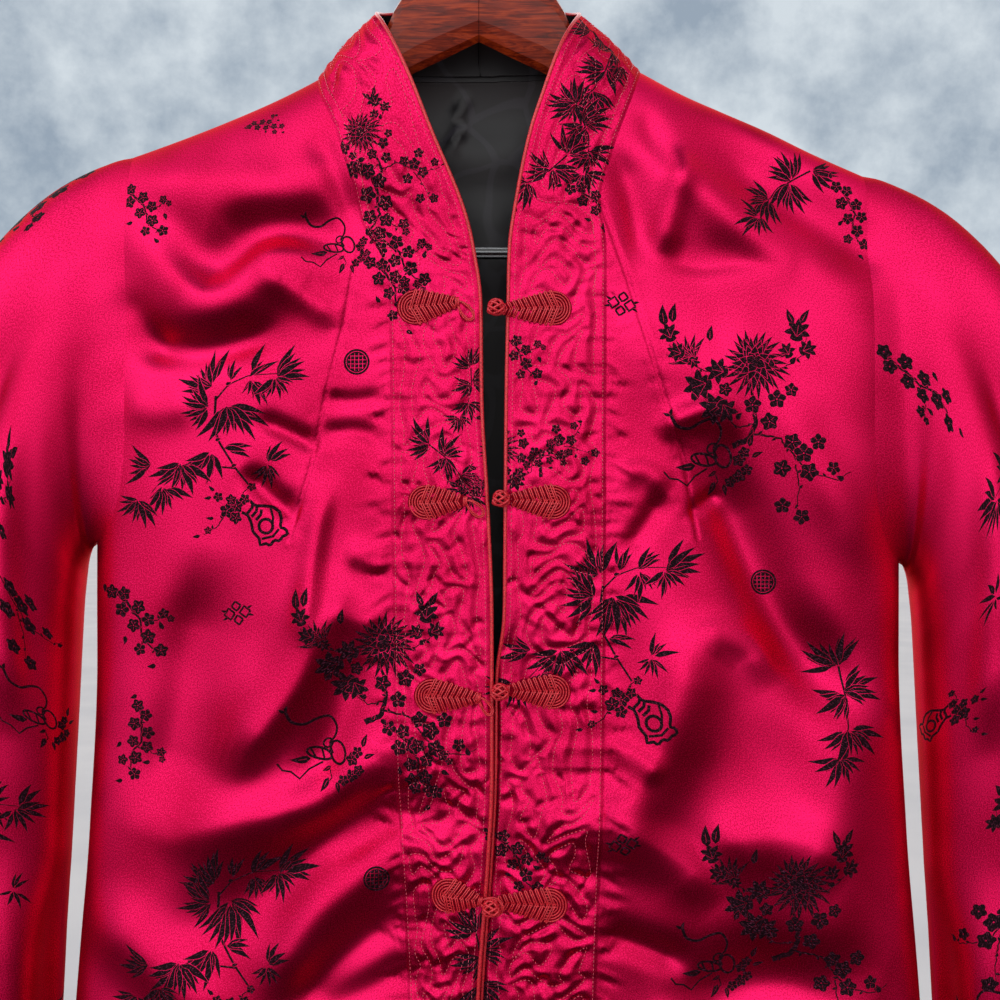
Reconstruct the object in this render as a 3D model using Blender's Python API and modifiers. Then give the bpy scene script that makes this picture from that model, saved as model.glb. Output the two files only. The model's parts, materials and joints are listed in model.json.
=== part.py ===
"""Tang jacket hanging on a wooden hanger, built from sewn cloth walls.

Sizes are in millimetres and meshes are made in metres. +X points right, +Z up, and the jacket's
front faces -Y. The origin is the underside of the hook's crown, where it hangs on a rod. Left and
right are those of a viewer who looks at the front.
"""

import math
from collections import namedtuple

import bpy
import numpy as np

MM = 0.001
MODEL_NAME = "tang_jacket_on_hanger"
LEFT, RIGHT = -1, 1
SIDE_NAMES = {LEFT: "left", RIGHT: "right"}

# Cloth walls, and the gap that sewn pieces keep at their seams
CLOTH_WALL = 1.6
LINING_WALL = 1.0
SEAM_GAP = 0.3

# Body of the jacket: a flattened tube that hangs from the shoulder line
HEM_Z = -745.0
BODY_CENTRE_X = 10.7
ARMHOLE_HALF_X = 203.75
UNDERARM_DROP = 216.0
ARMHOLE_CURVE_HEIGHT = 60.0
SECTION_POWER = 3.0
SECTION_SAMPLES = 181
TOP_LINE_STEPS = 40
NECK_SHARE_STEPS = 50
SHOULDER_ROUNDING = 60.0
EDGE_STRIP = 1.4
RIDGE_STRIP = 1.2
UNDERARM_STEP = 2.5

BodyRow = namedtuple("BodyRow", "z half_width front_depth back_depth")
BODY_ROWS = (
    BodyRow(-745, 242, 32, 28),
    BodyRow(-640, 236, 34, 30),
    BodyRow(-540, 228, 36, 31),
    BodyRow(-450, 224, 37, 31),
    BodyRow(-385, 224, 37, 31),
    BodyRow(-300, 224, 36, 30),
    BodyRow(-200, 224, 34, 29),
    BodyRow(-80, 224, 32, 28),
)

# Shoulder line from side to side; inside the neckline it is only a guide for the roundness
ShoulderRow = namedtuple("ShoulderRow", "x z")
SHOULDER_ROWS = (
    ShoulderRow(-210, -174),
    ShoulderRow(-175, -162),
    ShoulderRow(-147, -151.5),
    ShoulderRow(-115, -138),
    ShoulderRow(-90, -125.5),
    ShoulderRow(-60, -108),
    ShoulderRow(0, -86),
    ShoulderRow(60, -105),
    ShoulderRow(90.5, -121.5),
    ShoulderRow(115, -134.5),
    ShoulderRow(134.5, -143),
    ShoulderRow(159, -153.5),
    ShoulderRow(186, -166.5),
    ShoulderRow(222, -182),
)
NECK_POINT_X = {LEFT: -90.0, RIGHT: 90.5}

NeckRow = namedtuple("NeckRow", "x z")
BACK_NECK_ROWS = (
    NeckRow(-90, -125.5),
    NeckRow(-65, -121),
    NeckRow(-30, -118.5),
    NeckRow(0, -118),
    NeckRow(30, -118),
    NeckRow(65, -119),
    NeckRow(90.5, -121.5),
)

# Centre bands: the outer line (quilting line, then collar seam) and the free edge it is joined to
BandRow = namedtuple("BandRow", "z outer_x edge_x edge_y edge_z")
LEFT_BAND_ROWS = (
    BandRow(-745, -36.4, -4.4, -33, -745),
    BandRow(-629, -38, -0.2, -35, -629),
    BandRow(-554, -41.7, 5.2, -36.5, -554),
    BandRow(-511, -44.4, 7.3, -37.5, -511),
    BandRow(-425, -45.9, 7.3, -38, -425),
    BandRow(-366, -46.5, 5.2, -38, -366),
    BandRow(-307, -47.1, 1.9, -38, -307),
    BandRow(-252, -48.3, 1.4, -38, -252),
    BandRow(-234, -50.5, -1.3, -38.5, -234),
    BandRow(-212, -62.7, -5, -39, -214.4),
    BandRow(-189, -68.3, -12.9, -40, -191.7),
    BandRow(-171, -74, -24.5, -40, -165.6),
    BandRow(-151.5, -81, -38.3, -37, -129.3),
    BandRow(-141, -86, -51.2, -30, -102.8),
    BandRow(-125.5, -90, -58.5, -10, -90),
)
RIGHT_BAND_ROWS = (
    BandRow(-745, 62, -2.3, -28, -745),
    BandRow(-629, 63.7, 1.9, -30, -629),
    BandRow(-554, 66, 7.2, -31.5, -554),
    BandRow(-511, 67.5, 9.4, -32.5, -511),
    BandRow(-455, 68.3, 9.9, -33, -455),
    BandRow(-425, 68.5, 14.2, -37, -425),
    BandRow(-366, 68.6, 14.7, -38, -366),
    BandRow(-307, 68.8, 15.2, -38, -307),
    BandRow(-252, 69, 16.3, -38, -252),
    BandRow(-227, 69.1, 16.8, -38.5, -227),
    BandRow(-200.5, 65.9, 20, -39, -203.6),
    BandRow(-173, 72.6, 28, -40, -164),
    BandRow(-152, 80, 35.8, -38, -141),
    BandRow(-140, 84.5, 44.2, -35, -115.5),
    BandRow(-121.5, 90.5, 57.5, -10, -90),
)
BAND_ROWS = {LEFT: LEFT_BAND_ROWS, RIGHT: RIGHT_BAND_ROWS}
BAND_CROWN = 2.0
BAND_COLUMNS = (0.0, 0.3, 0.65, 1.0)

# Stand collar behind the shoulders, by distance from the centre-back seam
CollarRow = namedtuple("CollarRow", "seam_x edge_x edge_y edge_z")
COLLAR_ROWS = (
    CollarRow(0, 0, 23.5, -76),
    CollarRow(25, 18, 22, -76.5),
    CollarRow(50, 38, 17, -80),
    CollarRow(75, 54, 6, -86),
    CollarRow(90, 58.5, -10, -90),
)
NECK_SHARES = (0.0, 0.25, 0.5, 0.75, 1.0)

# Rows and columns of the panels
ROWS_BELOW_UNDERARM = 9
SHARES_ABOVE_UNDERARM = (0.05, 0.2, 0.42, 0.7, 1.0)
SHOULDER_DROPS = (38.3, 18.2, 7.3, 1.9)
FRONT_SHARES = (0.0, 0.08, 0.17, 0.26, 0.36, 0.46, 0.56, 0.66, 0.76, 0.86, 0.94)
BACK_SHOULDER_SHARES = (0.2, 0.4, 0.6, 0.78, 0.92)

# Largest folds: a path through three points, its half width, and how far it stands out
FoldRow = namedtuple("FoldRow", "x0 z0 xm zm x1 z1 width depth")
FRONT_FOLDS = (
    FoldRow(-186, -206, -133, -219, -85, -208, 13, -5),
    FoldRow(-184, -222, -155, -246, -118, -232, 12, 4),
    FoldRow(-176, -254, -133, -270, -79, -257, 20, -8),
    FoldRow(-79, -350, -111, -414, -146, -492, 16, 6),
    FoldRow(-85, -361, -93, -425, -135, -516, 15, -6),
    FoldRow(-50, -514, -95, -538, -154, -559, 18, -8),
    FoldRow(-50, -532, -95, -570, -146, -629, 16, 6),
    FoldRow(-165, -600, -120, -660, -110, -730, 22, -6),
    FoldRow(98, -163, 119, -203, 146, -225, 15, -6),
    FoldRow(95, -234, 135, -231, 172, -234, 13, 4),
    FoldRow(107, -321, 139, -349, 199, -449, 17, -8),
    FoldRow(132, -436, 113, -484, 95, -522, 20, -7),
    FoldRow(188, -463, 162, -522, 140, -564, 24, 5),
    FoldRow(71, -548, 108, -564, 140, -554, 15, -6),
    FoldRow(190, -560, 170, -640, 165, -730, 24, 6),
)
BACK_FOLDS = (
    FoldRow(-170, -215, -110, -235, -60, -300, 22, -6),
    FoldRow(180, -225, 120, -250, 70, -310, 24, -6),
    FoldRow(-60, -380, -90, -500, -110, -640, 26, 6),
    FoldRow(60, -360, 95, -520, 90, -680, 28, 6),
    FoldRow(-10, -300, 15, -470, 5, -640, 24, -5),
    FoldRow(170, -400, 150, -520, 165, -640, 24, -5),
)
FOLD_SAMPLES = 25
FOLD_REACH = 3.0
FOLD_END_SHARE = 0.06

# Sleeves: sections by how far out from the armhole and below the shoulder point they lie
SleeveRow = namedtuple("SleeveRow", "outer_out outer_drop inner_out inner_drop half_depth")
SLEEVE_ROWS = (
    SleeveRow(14, 3, 24, 219, 27),
    SleeveRow(40, 16, 27, 224, 33),
    SleeveRow(68, 42, 29, 231, 38),
    SleeveRow(92, 82, 30, 240, 41),
    SleeveRow(110, 132, 31, 252, 42),
    SleeveRow(121, 190, 32, 272, 42),
    SleeveRow(128, 265, 34, 315, 41),
    SleeveRow(131, 350, 37, 375, 38),
    SleeveRow(132, 445, 41, 455, 35),
    SleeveRow(132, 545, 46, 548, 33),
)
SLEEVE_SETBACK_Y = 1.0

# Linings: how far the back's hem is raised, as a share of its first row, and the collar's inset
LINING_HEM_SHARE = 0.35
BACK_LINING_GAP = 0.6
COLLAR_LINING_GAP = 0.9
COLLAR_LINING_SHARES = (0.07, 0.5, 0.95)

# Piping along the free edges
PIPING_RADIUS = 1.3
PIPING_GAP = 0.6
PIPING_STEP = 2.5

# Frog fastenings: a plaque from its outer end to its tip, and its head, which is a loop or a knot
FrogRow = namedtuple("FrogRow", "name side end_x end_z tip_x tip_y tip_z head_x head_y head_z radius")
FROG_ROWS = (
    FrogRow("frog_1_loop", LEFT, -43.3, -259.3, -10, -40.2, -258.5, -5.5, -41.6, -261, 4.4),
    FrogRow("frog_2_loop", LEFT, -37.5, -362.6, -5, -40.2, -363.5, -0.3, -41.6, -366, 4.4),
    FrogRow("frog_3_loop", LEFT, -34.2, -464.9, 0.5, -40.2, -467.5, 5.2, -41.6, -472.2, 4.4),
    FrogRow("frog_4_loop", LEFT, -25.1, -569.5, 1.8, -42.4, -575.5, 7, -44.6, -576.8, 6.5),
    FrogRow("frog_1_knot", RIGHT, 50.3, -258.7, 12, -40, -259.3, 9.7, -45.2, -259.3, 5.2),
    FrogRow("frog_2_knot", RIGHT, 49.8, -362.6, 15, -40, -360.5, 12.3, -45.2, -360.5, 5.2),
    FrogRow("frog_3_knot", RIGHT, 49.8, -463.8, 15, -40, -462.7, 11.8, -45.2, -462.7, 5.2),
    FrogRow("frog_4_knot", RIGHT, 48.2, -577.8, 8, -40.9, -577, 7, -46.4, -576.8, 5.2),
)
FROG_HALF_HEIGHT = 9.75
FROG_TIP_HALF_HEIGHT = 2.6
FROG_THICKNESS = 2.2
FROG_LIFT = 0.75
FROG_STATIONS = (0.02, 0.1, 0.24, 0.42, 0.62, 0.82, 1.0)
LOOP_CORD_RADIUS = 1.1

# Hanger: sections of each wooden arm by distance from its middle
ArmRow = namedtuple("ArmRow", "x top bottom half_depth")
ARM_ROWS = (
    ArmRow(0.15, -64, -103.2, 8),
    ArmRow(18, -65, -112, 8),
    ArmRow(35, -70.5, -120, 8.2),
    ArmRow(43, -77.5, -124.2, 8.5),
    ArmRow(47.5, -85, -126.5, 8.7),
    ArmRow(52, -95.5, -128.5, 8.8),
    ArmRow(61, -109, -133.2, 9.2),
    ArmRow(75, -122.5, -141, 9.8),
    ArmRow(92, -130.5, -149, 9.8),
    ArmRow(115, -136.5, -160, 9.8),
    ArmRow(147, -150, -182, 10.6),
    ArmRow(160, -156, -209, 11),
    ArmRow(174, -163, -232, 11),
    ArmRow(184, -175, -226, 9),
    ArmRow(188, -190, -214, 5.5),
)
ARM_SEAT_GAP = 0.7
ARM_SIDES = 12
ARM_ROUNDNESS = 2.0
BAR_Z = -222.0
BAR_RADIUS = 3.5
BAR_HALF_LENGTH = 171.0
BAR_SOCKET_CLEARANCE = 0.3
WIRE_RADIUS = 1.9
WIRE_SOCKET_CLEARANCE = 0.35
WIRE_SOCKET_FOOT_Z = -84.4
WIRE_SOCKET_TOP_Z = -50.0
StemRow = namedtuple("StemRow", "x z")
HOOK_STEM_ROWS = (
    StemRow(0, -84),
    StemRow(0, -72),
    StemRow(0, -60),
    StemRow(0.6, -52),
    StemRow(3.2, -45.5),
)
HOOK_RADIUS = 21.0
HOOK_START_DEGREES = 205
HOOK_END_DEGREES = -60
HOOK_STEP_DEGREES = 12

SATIN = ("red_satin_brocade", (0.62, 0.0, 0.08), 0.38, 0.3)
LINING = ("black_lining", (0.012, 0.012, 0.014), 0.55, 0.0)
CORD = ("coral_red_cord", (0.55, 0.03, 0.03), 0.55, 0.0)
WOOD = ("mahogany_wood", (0.2, 0.035, 0.012), 0.35, 0.0)
WIRE = ("plated_wire", (0.7, 0.7, 0.72), 0.25, 1.0)
CLEAR_BAR = ("clear_ribbed_plastic", (0.6, 0.6, 0.62), 0.2, 0.0)


class Column:
    """One column of a table as a smooth curve over its key column that never overshoots."""

    def __init__(self, rows, key, name):
        pairs = sorted((getattr(row, key), getattr(row, name)) for row in rows)
        self.keys = np.array([pair[0] for pair in pairs], float)
        self.values = np.array([pair[1] for pair in pairs], float)
        self.steps = np.diff(self.keys)
        slopes = np.diff(self.values) / self.steps
        self.tangents = np.concatenate((slopes[:1], np.zeros(len(slopes) - 1), slopes[-1:]))
        for i in range(1, len(slopes)):
            before, after = slopes[i - 1], slopes[i]
            if before * after > 0:
                self.tangents[i] = 2 * before * after / (before + after)

    def __call__(self, at):
        """Value where the key column is `at`, a number or an array."""
        at = np.clip(at, self.keys[0], self.keys[-1])
        i = np.clip(np.searchsorted(self.keys, at) - 1, 0, len(self.steps) - 1)
        step = self.steps[i]
        t = (at - self.keys[i]) / step
        start = self.values[i] * (1 + 2 * t) + self.tangents[i] * step * t
        end = self.values[i + 1] * (3 - 2 * t) - self.tangents[i + 1] * step * (1 - t)
        return start * (1 - t) ** 2 + end * t**2


half_width = Column(BODY_ROWS, "z", "half_width")
FRONT_DEPTH = Column(BODY_ROWS, "z", "front_depth")
BACK_DEPTH = Column(BODY_ROWS, "z", "back_depth")
shoulder_z = Column(SHOULDER_ROWS, "x", "z")
back_neck_z = Column(BACK_NECK_ROWS, "x", "z")
BAND_OUTER_X = {side: Column(BAND_ROWS[side], "z", "outer_x") for side in BAND_ROWS}


# ---------------------------------------------------------------- cloth surfaces


def rounding(x, z):
    """Share of the full depth: 0 on the shoulder line, 1 from its rounding height down."""
    drop = np.clip((shoulder_z(x) - z) / SHOULDER_ROUNDING, 0, 1)
    return np.sqrt(1 - (1 - drop) ** 2)


def bare_depth(x, z, depth):
    """Depth of the smooth section at x, before folds and the shoulder's rounding."""
    share = np.clip(abs(x - BODY_CENTRE_X) / half_width(z), 0, 1)
    return depth(z) * (1 - share**SECTION_POWER) ** (1 / SECTION_POWER)


def fold_path(fold):
    """Points along a fold: the curve that passes through its three points."""
    t = np.linspace(0, 1, FOLD_SAMPLES)
    along = []
    for start, middle, end in ((fold.x0, fold.xm, fold.x1), (fold.z0, fold.zm, fold.z1)):
        handle = 2 * middle - (start + end) / 2
        along.append((1 - t) ** 2 * start + 2 * t * (1 - t) * handle + t**2 * end)
    return t, along[0], along[1]


def fold_height(folds, x, z):
    """How far the folds make the cloth stand out at one point."""
    height = 0.0
    for fold in folds:
        t, path_x, path_z = fold_path(fold)
        distance = np.hypot(path_x - x, path_z - z)
        nearest = int(np.argmin(distance))
        away = distance[nearest] / fold.width
        if away < FOLD_REACH:
            taper = math.sin(math.pi * np.clip(t[nearest], FOLD_END_SHARE, 1 - FOLD_END_SHARE))
            height += fold.depth * taper * math.exp(-(away**2))
    return height


def cloth_depth(x, z, bare, depth, folds, least=SEAM_GAP / 2):
    """Distance of the cloth's outer face from the mid plane, never under `least`."""
    round_share = float(rounding(x, z))
    fade = round_share**2 * bare / float(depth(z))
    return max(least, bare * round_share + fold_height(folds, x, z) * fade)


def armhole_inset(side, z):
    """How far the armhole lies inside the section's full half width."""
    above = np.clip((z - underarm_z(side)) / ARMHOLE_CURVE_HEIGHT, 0, 1)
    full = float(half_width(underarm_z(side))) - ARMHOLE_HALF_X
    return full * np.sqrt(1 - (1 - above) ** 2)


def shoulder_point_z(side):
    """Height of the shoulder line's outer end."""
    return float(shoulder_z(BODY_CENTRE_X + side * ARMHOLE_HALF_X))


def underarm_z(side):
    """Height of the armhole's lowest point."""
    return shoulder_point_z(side) - UNDERARM_DROP


def place_across(side, z, from_x, share, depth):
    """Point of the section at a height, by its share of the way from from_x to the side.

    Returns its x and its bare depth.
    """
    angle = np.linspace(0, math.pi / 2, SECTION_SAMPLES)
    out = float(half_width(z)) * np.sin(angle) ** (2 / SECTION_POWER)
    deep = float(depth(z)) * np.clip(np.cos(angle), 0, 1) ** (2 / SECTION_POWER)
    length = np.concatenate(([0], np.cumsum(np.hypot(np.diff(out), np.diff(deep)))))
    first = np.interp(side * (from_x - BODY_CENTRE_X), out, length)
    at_armhole = np.interp(out[-1] - armhole_inset(side, z), out, length)
    at_seam = np.interp(-SEAM_GAP / 2, -deep, length)
    last = min(at_armhole, at_seam)
    at = first + (last - first) * share
    return BODY_CENTRE_X + side * np.interp(at, length, out), np.interp(at, length, deep)


def column_rows(side, top_z, ridge):
    """Rows of a column from the hem to its top, each as its height and its least depth.

    The row at the underarm stands off the mid plane, and so does the last row but one where the
    column ends on the shoulder's ridge, so that the wall's thickness goes straight in at the seams.
    """
    side_span = shoulder_point_z(side) - SHOULDER_ROUNDING - HEM_Z
    underarm_share = (underarm_z(side) - HEM_Z) / side_span
    low_share = underarm_share - UNDERARM_STEP / side_span
    shares = [low_share * i / (ROWS_BELOW_UNDERARM - 1) for i in range(ROWS_BELOW_UNDERARM)]
    shares.append(underarm_share)
    shares += [underarm_share + (1 - underarm_share) * above for above in SHARES_ABOVE_UNDERARM]
    start = top_z - SHOULDER_ROUNDING
    rows = [(HEM_Z + (start - HEM_Z) * share, SEAM_GAP / 2) for share in shares]
    rows[ROWS_BELOW_UNDERARM] = (rows[ROWS_BELOW_UNDERARM][0], RIDGE_STRIP)
    rows += [(top_z - drop, SEAM_GAP / 2) for drop in SHOULDER_DROPS]
    rows.append((top_z, RIDGE_STRIP) if ridge else (top_z - RIDGE_STRIP / 2, SEAM_GAP / 2))
    return rows + [(top_z, SEAM_GAP / 2)]


def column_top(side, from_x, share, top_line, depth):
    """Height at which a column of the panel meets its top line."""
    z = float(shoulder_z(BODY_CENTRE_X))
    for _ in range(TOP_LINE_STEPS):
        x, _ = place_across(side, z, from_x(z), share, depth)
        z = float(top_line(x))
    return z


def edge_strip_share(side, from_x, depth):
    """Share of the last column but one, a narrow strip from the panel's side."""
    z = underarm_z(side)
    x, _ = place_across(side, z, from_x(z), 0, depth)
    width = abs(BODY_CENTRE_X + side * float(half_width(z)) - x) + float(depth(z))
    return 1 - EDGE_STRIP / width


def panel_column(side, from_x, share, top_line, depth, folds):
    """Points of one column of a panel, from the hem up."""
    facing = -1 if depth is FRONT_DEPTH else 1
    top_z = column_top(side, from_x, share, top_line, depth)
    top_x, _ = place_across(side, top_z, from_x(top_z), share, depth)
    ridge = float(shoulder_z(top_x)) - top_z < RIDGE_STRIP
    column = []
    for z, least in column_rows(side, top_z, ridge):
        x, bare = place_across(side, z, from_x(z), share, depth)
        column.append((float(x), facing * cloth_depth(x, z, bare, depth, folds, least), z))
    return column


def front_columns(side):
    """Columns of a front's side part, from the centre band to the side seam and armhole."""

    def from_x(z):
        return float(BAND_OUTER_X[side](z))

    shares = FRONT_SHARES + (edge_strip_share(side, from_x, FRONT_DEPTH), 1.0)
    return [
        panel_column(side, from_x, share, shoulder_z, FRONT_DEPTH, FRONT_FOLDS)
        for share in shares
    ]


def back_top_line(x):
    """Height of the back's top edge: its neckline, then its shoulders."""
    if NECK_POINT_X[LEFT] < x < NECK_POINT_X[RIGHT]:
        return float(back_neck_z(x))
    return float(shoulder_z(x))


def middle_x(_):
    """Start of the back's columns, at every height."""
    return BODY_CENTRE_X


def neck_share(side):
    """Share of the way from the body's middle to its side at which the neck point lies."""
    neck_x = NECK_POINT_X[side]
    z = float(shoulder_z(neck_x))
    low, high = 0.0, 1.0
    for _ in range(NECK_SHARE_STEPS):
        share = (low + high) / 2
        x, _ = place_across(side, z, BODY_CENTRE_X, share, BACK_DEPTH)
        if side * (x - neck_x) < 0:
            low = share
        else:
            high = share
    return share


def centre_back_share():
    """Share on the left side at which the collar's centre-back seam lies."""
    return BODY_CENTRE_X / (BODY_CENTRE_X - NECK_POINT_X[LEFT]) * neck_share(LEFT)


def back_neck_shares(side):
    """Shares of the back's neckline columns on one side of the centre-back seam, as (side, share)."""
    if side == LEFT:
        first, last = centre_back_share(), neck_share(LEFT)
        return [(LEFT, first + (last - first) * share) for share in NECK_SHARES]
    across = [(LEFT, centre_back_share())]
    return across + [(RIGHT, neck_share(RIGHT) * share) for share in NECK_SHARES[1:]]


def back_column(side, share):
    """One column of the back."""
    return panel_column(side, middle_x, share, back_top_line, BACK_DEPTH, BACK_FOLDS)


def back_columns():
    """Columns of the back, from its left side to its right side."""
    columns = []
    for side in (LEFT, RIGHT):
        start = neck_share(side)
        strip = edge_strip_share(side, middle_x, BACK_DEPTH)
        shoulder = [start + (strip - start) * share for share in BACK_SHOULDER_SHARES]
        places = back_neck_shares(side)
        places += [(side, share) for share in shoulder + [strip, 1.0]]
        if side == LEFT:
            places = places[::-1]
        else:
            places = places[1:]
        columns += [back_column(*place) for place in places]
    return columns


def collar_edge(side, seam_x):
    """Point of the collar's top edge joined to a point of the back neckline."""
    away = abs(seam_x)
    names = ("edge_x", "edge_y", "edge_z")
    x, y, z = (float(Column(COLLAR_ROWS, "seam_x", name)(away)) for name in names)
    return np.array((side * x, y, z))


def towards(start, end, distance):
    """Point at a distance from start on the way to end."""
    span = end - start
    return start + span * (distance / np.linalg.norm(span))


def band_rows(side):
    """Rows of a centre band and its half collar, from the hem up to the centre-back seam.

    Each row runs from the outer line to the free edge.
    """
    edges = [Column(BAND_ROWS[side], "z", name) for name in ("edge_x", "edge_y", "edge_z")]
    pairs = []
    outer_line = front_columns(side)[0]
    for point in outer_line:
        if point is outer_line[-1] or outer_line[-1][2] - point[2] > EDGE_STRIP:
            pairs.append((np.array(point), np.array([float(edge(point[2])) for edge in edges])))
    for place in back_neck_shares(side)[::-1][1:]:
        seam = np.array(back_column(*place)[-1])
        edge = collar_edge(side, seam[0])
        pairs.append((seam, edge))
    rows = []
    for seam, edge in pairs:
        start = towards(seam, edge, SEAM_GAP)
        rows.append([start + (edge - start) * share for share in BAND_COLUMNS])
    rows = crowned(rows, side, BAND_CROWN)
    rows[-1, :, 0] = side * SEAM_GAP
    return rows


def grid_normals(rows):
    """Unit normals of a grid of points, from its rows and columns."""
    points = np.array(rows)
    along = np.gradient(points, axis=0)
    across = np.gradient(points, axis=1)
    normals = np.cross(across, along)
    return normals / np.linalg.norm(normals, axis=2, keepdims=True)


def crowned(rows, side, crown):
    """The grid with the middle of each row moved out, as padding makes it stand."""
    normals = grid_normals(rows) * -side
    bulge = np.array([math.sin(math.pi * share) * crown for share in BAND_COLUMNS])
    return np.array(rows) + normals * bulge[None, :, None]


def sleeve_rings(side):
    """Rings of a sleeve, from the armhole to the cuff."""
    first_row = ROWS_BELOW_UNDERARM
    front = front_columns(side)[-1][first_row:]
    back = back_column(side, 1.0)[first_row:]
    loop = [np.array(point) for point in front[::-1] + back[1:-1]]
    for point in loop:
        point[0] += side * SEAM_GAP
    loop[0][1] = 0.0
    loop[len(front) - 1][1] = 0.0
    top_z, low_z = loop[0][2], loop[len(front) - 1][2]
    angles = []
    for i, point in enumerate(loop):
        cosine = (point[2] - (top_z + low_z) / 2) / ((top_z - low_z) / 2)
        angle = math.acos(min(1, max(-1, cosine)))
        angles.append(angle if i < len(front) else 2 * math.pi - angle)
    rings = [loop]
    start_x = BODY_CENTRE_X + side * ARMHOLE_HALF_X
    for row in SLEEVE_ROWS:
        outer = np.array((start_x + side * row.outer_out, SLEEVE_SETBACK_Y, top_z - row.outer_drop))
        inner = np.array((start_x + side * row.inner_out, SLEEVE_SETBACK_Y, top_z - row.inner_drop))
        centre, reach = (outer + inner) / 2, (outer - inner) / 2
        forward = np.array((0, -row.half_depth, 0))
        rings.append([centre + reach * math.cos(a) + forward * math.sin(a) for a in angles])
    return rings


def lining_back_rows():
    """Rows of the back lining, just inside the back."""
    points = np.array(back_columns()).transpose(1, 0, 2)
    normals = grid_normals(points)
    inside = points - normals * np.sign(normals[:, :, 1:2]) * (CLOTH_WALL + BACK_LINING_GAP)
    first_column, last_column = 2, points.shape[1] - 2
    last_row = points.shape[0] - 4
    rows = inside[:last_row, first_column:last_column].copy()
    rows[0] += (rows[1] - rows[0]) * LINING_HEM_SHARE
    return rows


def lining_collar_rows():
    """Rows of the collar's inner face, from the left front round the neck to the right front."""
    sides = []
    for side in (LEFT, RIGHT):
        rows = np.array(band_rows(side))
        normals = grid_normals(rows) * -side
        inside = rows - normals * (CLOTH_WALL + COLLAR_LINING_GAP)
        kept = inside[ROWS_BELOW_UNDERARM + len(SHARES_ABOVE_UNDERARM) - 1 :]
        span = kept[:, -1:] - kept[:, :1]
        columns = [kept[:, :1] + span * share for share in COLLAR_LINING_SHARES]
        sides.append(np.concatenate(columns, axis=1))
    return np.concatenate((sides[0][:-1], sides[1][::-1][1:]), axis=0)


def piping_route(side):
    """Centre line of the piping along a band's free edge."""
    rows = np.array(band_rows(side))
    normals = grid_normals(rows) * -side
    route = []
    for row, normal in zip(rows, normals):
        out = towards(row[-1], row[-2], -(PIPING_RADIUS + PIPING_GAP))
        point = out - normal[-1] * CLOTH_WALL / 2
        if not route or np.linalg.norm(point - route[-1]) > PIPING_STEP:
            route.append(point)
    route[-1][0] = side * SEAM_GAP
    return route


# ---------------------------------------------------------------- frogs, hanger


def band_face_y(side, x, z):
    """Depth of a centre band's outer face where its rows are level."""
    names = ("outer_x", "edge_x", "edge_y")
    outer_x, edge_x, edge_y = (float(Column(BAND_ROWS[side], "z", name)(z)) for name in names)
    bare = float(bare_depth(outer_x, z, FRONT_DEPTH))
    outer_y = -cloth_depth(outer_x, z, bare, FRONT_DEPTH, FRONT_FOLDS)
    share = min(max((x - outer_x) / (edge_x - outer_x), 0), 1)
    return outer_y + (edge_y - outer_y) * share - BAND_CROWN * math.sin(math.pi * share)


def frog_half_height(share, length):
    """Half height of a plaque: a round outer end that tapers to the tip."""
    from_end = share * length
    if from_end < FROG_HALF_HEIGHT:
        return math.sqrt(FROG_HALF_HEIGHT**2 - (FROG_HALF_HEIGHT - from_end) ** 2)
    taper = (from_end - FROG_HALF_HEIGHT) / (length - FROG_HALF_HEIGHT)
    return FROG_HALF_HEIGHT + (FROG_TIP_HALF_HEIGHT - FROG_HALF_HEIGHT) * taper


def frog_rows(frog):
    """Rows of a plaque's back face, moved out from the band, from its outer end to its tip."""
    length = abs(frog.tip_x - frog.end_x)
    rows = []
    for share in FROG_STATIONS:
        x = frog.end_x + (frog.tip_x - frog.end_x) * share
        z = frog.end_z + (frog.tip_z - frog.end_z) * share
        half = frog_half_height(share, length)
        face_y = min(band_face_y(frog.side, x, z + up * half) for up in (-1, 0, 1)) - FROG_LIFT
        y = face_y + min(0, frog.tip_y - face_y) * share**2
        rows.append([(x, y, z + up * half) for up in (-1, 0, 1)])
    return rows


def arm_ring(row, side):
    """Rounded section of a wooden arm, which carries the shoulder just above it."""
    top = row.top
    if row.x > NECK_POINT_X[RIGHT]:
        top = min(top, float(shoulder_z(side * row.x)) - CLOTH_WALL - ARM_SEAT_GAP)
    middle, half = (top + row.bottom) / 2, (top - row.bottom) / 2
    ring = []
    for i in range(ARM_SIDES):
        angle = 2 * math.pi * i / ARM_SIDES
        power = 2 / ARM_ROUNDNESS
        up = math.copysign(abs(math.cos(angle)) ** power, math.cos(angle))
        deep = math.copysign(abs(math.sin(angle)) ** power, math.sin(angle))
        ring.append((side * row.x, -row.half_depth * deep, middle + half * up))
    return ring


def hook_route():
    """Centre line of the hook: the stem, its bend and the arc over the rod."""
    centre_z = WIRE_RADIUS - HOOK_RADIUS
    route = [(row.x, row.z) for row in HOOK_STEM_ROWS]
    for degrees in range(HOOK_END_DEGREES, HOOK_START_DEGREES + 1, HOOK_STEP_DEGREES):
        angle = math.radians(degrees)
        route.append((HOOK_RADIUS * math.cos(angle), centre_z + HOOK_RADIUS * math.sin(angle)))
    return [(x, 0, z) for x, z in route]


# ---------------------------------------------------------------- Blender objects


def clear_scene():
    """Removes every object of the scene."""
    for item in list(bpy.data.objects):
        bpy.data.objects.remove(item, do_unlink=True)


def new_collection(name):
    """New collection in the scene."""
    collection = bpy.data.collections.new(name)
    bpy.context.scene.collection.children.link(collection)
    return collection


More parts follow.
